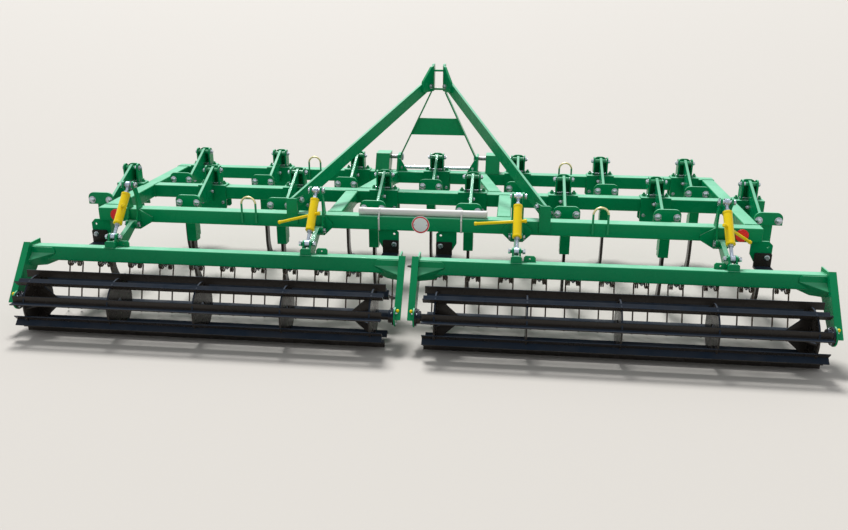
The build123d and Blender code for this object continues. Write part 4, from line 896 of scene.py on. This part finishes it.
def tine_wire():
    """One double tine about x = 0. From the leg's tip a straight run meets the coil at its tangent; along the
    coil the point is (x inward, coil radius times cosine, coil radius times sine) of an angle that grows to
    the bar's underside."""
    tip = np.array([leg_x, -0.5915, 0.0095])
    away = tip[1:] - (harrow_y, coil_z)
    meet = math.atan2(away[1], away[0]) + math.acos(coil_radius / math.hypot(*away))
    turn = np.linspace(meet, 4.5 * np.pi, 42)
    coil = arc((0, harrow_y, coil_z), coil_radius, along_y, along_z, turn)
    coil[:, 0] = np.linspace(leg_x, bridge_x, 42)
    share = np.linspace(0, 1, 7)[:-1, None]
    leg = tip + (coil[0] - tip) * share
    leg[:, 1] -= 0.004 * np.sin(share[:, 0] * np.pi)
    half = np.concatenate([leg, coil])
    return np.concatenate([half, (half * (-1, 1, 1))[::-1]])


right_tines = 0.15 + 0.18 * np.arange(11)
tine_places = np.zeros((22, 3))
tine_places[:, 0] = np.concatenate([-right_tines, right_tines])
springs = set_out(tube(tine_wire(), wire, 7), tine_places, along_z)
tines = build("harrow_spring_tines", springs, spring_steel)
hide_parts("harrow_tines")

# a small plate and bolt hold each tine's bridge to the bar
clip_wall, clip_z = 0.004, coil_z + coil_radius - wire
clip = turned([(0.0145, 0, 0), (0.015, 0.0006, 0), (0.015, 0.0034, 0), (0.0145, clip_wall, 0)], 16)
holds = [set_out(clip, tine_places + (0, harrow_y, clip_z), -along_z)]
heads, nuts = (tine_places + (0, harrow_y, z) for z in (bar_top, clip_z - clip_wall))
holds += bolts(0.008, heads, nuts, -along_z, 0.3, 12)
build("harrow_tine_bolts", joined(holds), zinc)

# a bolt holds each arm on its hanger, beside the hanger's middle
inner_hanger_x, outer_hanger_x, bolt_aside, bolt_z = 0.165, frame_end + 0.015, 0.032, 0.375
arm_back, hanger_front = rear_y - 0.0155, rear_y + 0.005
bolt_places = (inner_hanger_x - bolt_aside, outer_hanger_x + bolt_aside)
heads, nuts = ([(x, y, bolt_z) for x in bolt_places] for y in (arm_back, hanger_front))
build("harrow_arm_bolts", mirrored(*bolts(0.014, heads, nuts, along_y)), zinc)

# View. A standing person's camera behind the machine, a little right of its middle, looking down at it. Its
# place and angles come from the fit of the tines' even steps.


def aimed(label, data, right, above, back, at=(0, 0, 0)):
    """A camera or lamp whose own axes lie along right, above and back."""
    item = shown(label, data)
    pose = np.eye(4)
    pose[:3] = np.stack([right, above, back, at], -1)
    item.matrix_world = Matrix(pose.tolist())
    return item


eye = (0.5177, -4.6529, 1.7645)
turn_left, look_down, lean_right = math.radians(6.28), math.radians(-19.0), math.radians(0.15)
ahead = np.array([-math.sin(turn_left) * math.cos(look_down), math.cos(turn_left) * math.cos(look_down),
                  math.sin(look_down)])
level = unit(np.cross(ahead, along_z))
upright = np.cross(level, ahead)
right = math.cos(lean_right) * level + math.sin(lean_right) * upright
above = math.cos(lean_right) * upright - math.sin(lean_right) * level
focal_pixels, wide_pixels, sensor_wide = 806.14, 848, 36.0
lens = bpy.data.cameras.new("view")
lens.sensor_width = sensor_wide
lens.lens = focal_pixels / wide_pixels * sensor_wide
lens.clip_end = 1000
bpy.context.scene.camera = aimed("view", lens, right, above, -ahead, eye)

# Floor and light. A plain pale floor, a soft sun from ahead and above, and an even pale sky. The sky is white
# where the camera sees it, in gloss and through glass too, and a little blue and dimmer as light.
reach, floor_z = 400.0, -0.0005
floor_corners = [(x * reach, y * reach, floor_z) for x, y in ((-1, -1), (1, -1), (1, 1), (-1, 1))]
floor_look = {"Base Color": (0.46, 0.435, 0.40, 1), "Roughness": 0.85}
floor_paint, tree, shader = new_finish("pale_floor", floor_look)
floor_mesh = bpy.data.meshes.new("floor")
floor_mesh.from_pydata(floor_corners, [], [(0, 1, 2, 3)])
floor_mesh.materials.append(floor_paint)
floor = shown("floor", floor_mesh)

sun = bpy.data.lights.new("sun", "SUN")
sun.energy = 4.1
sun.angle = math.radians(14)
sun_from = unit(np.array([-0.18, 0.62, 0.95]))
side_way = unit(np.cross(along_y, sun_from))
aimed("sun", sun, side_way, np.cross(sun_from, side_way), sun_from)

sky = bpy.data.worlds.new("sky")
sky.use_nodes = True
bpy.context.scene.world = sky
tree = sky.node_tree
ray = put(tree, "ShaderNodeLightPath", {}).outputs
seen = figured(tree, "MAXIMUM", ray["Is Camera Ray"], ray["Is Glossy Ray"])
seen = figured(tree, "MAXIMUM", seen, ray["Is Transmission Ray"])
lit = tree.nodes["Background"]
lit.inputs["Color"].default_value = (0.93, 0.96, 1.0, 1)
lit.inputs["Strength"].default_value = 0.58
plain = put(tree, "ShaderNodeBackground", {"Color": (1, 1, 1, 1), "Strength": 1.0})
both = put(tree, "ShaderNodeMixShader", {0: seen, 1: lit.outputs[0], 2: plain.outputs[0]})
lead(tree, {"Surface": both.outputs[0]}, tree.nodes["World Output"])
bpy.context.scene.view_settings.view_transform = "Standard"
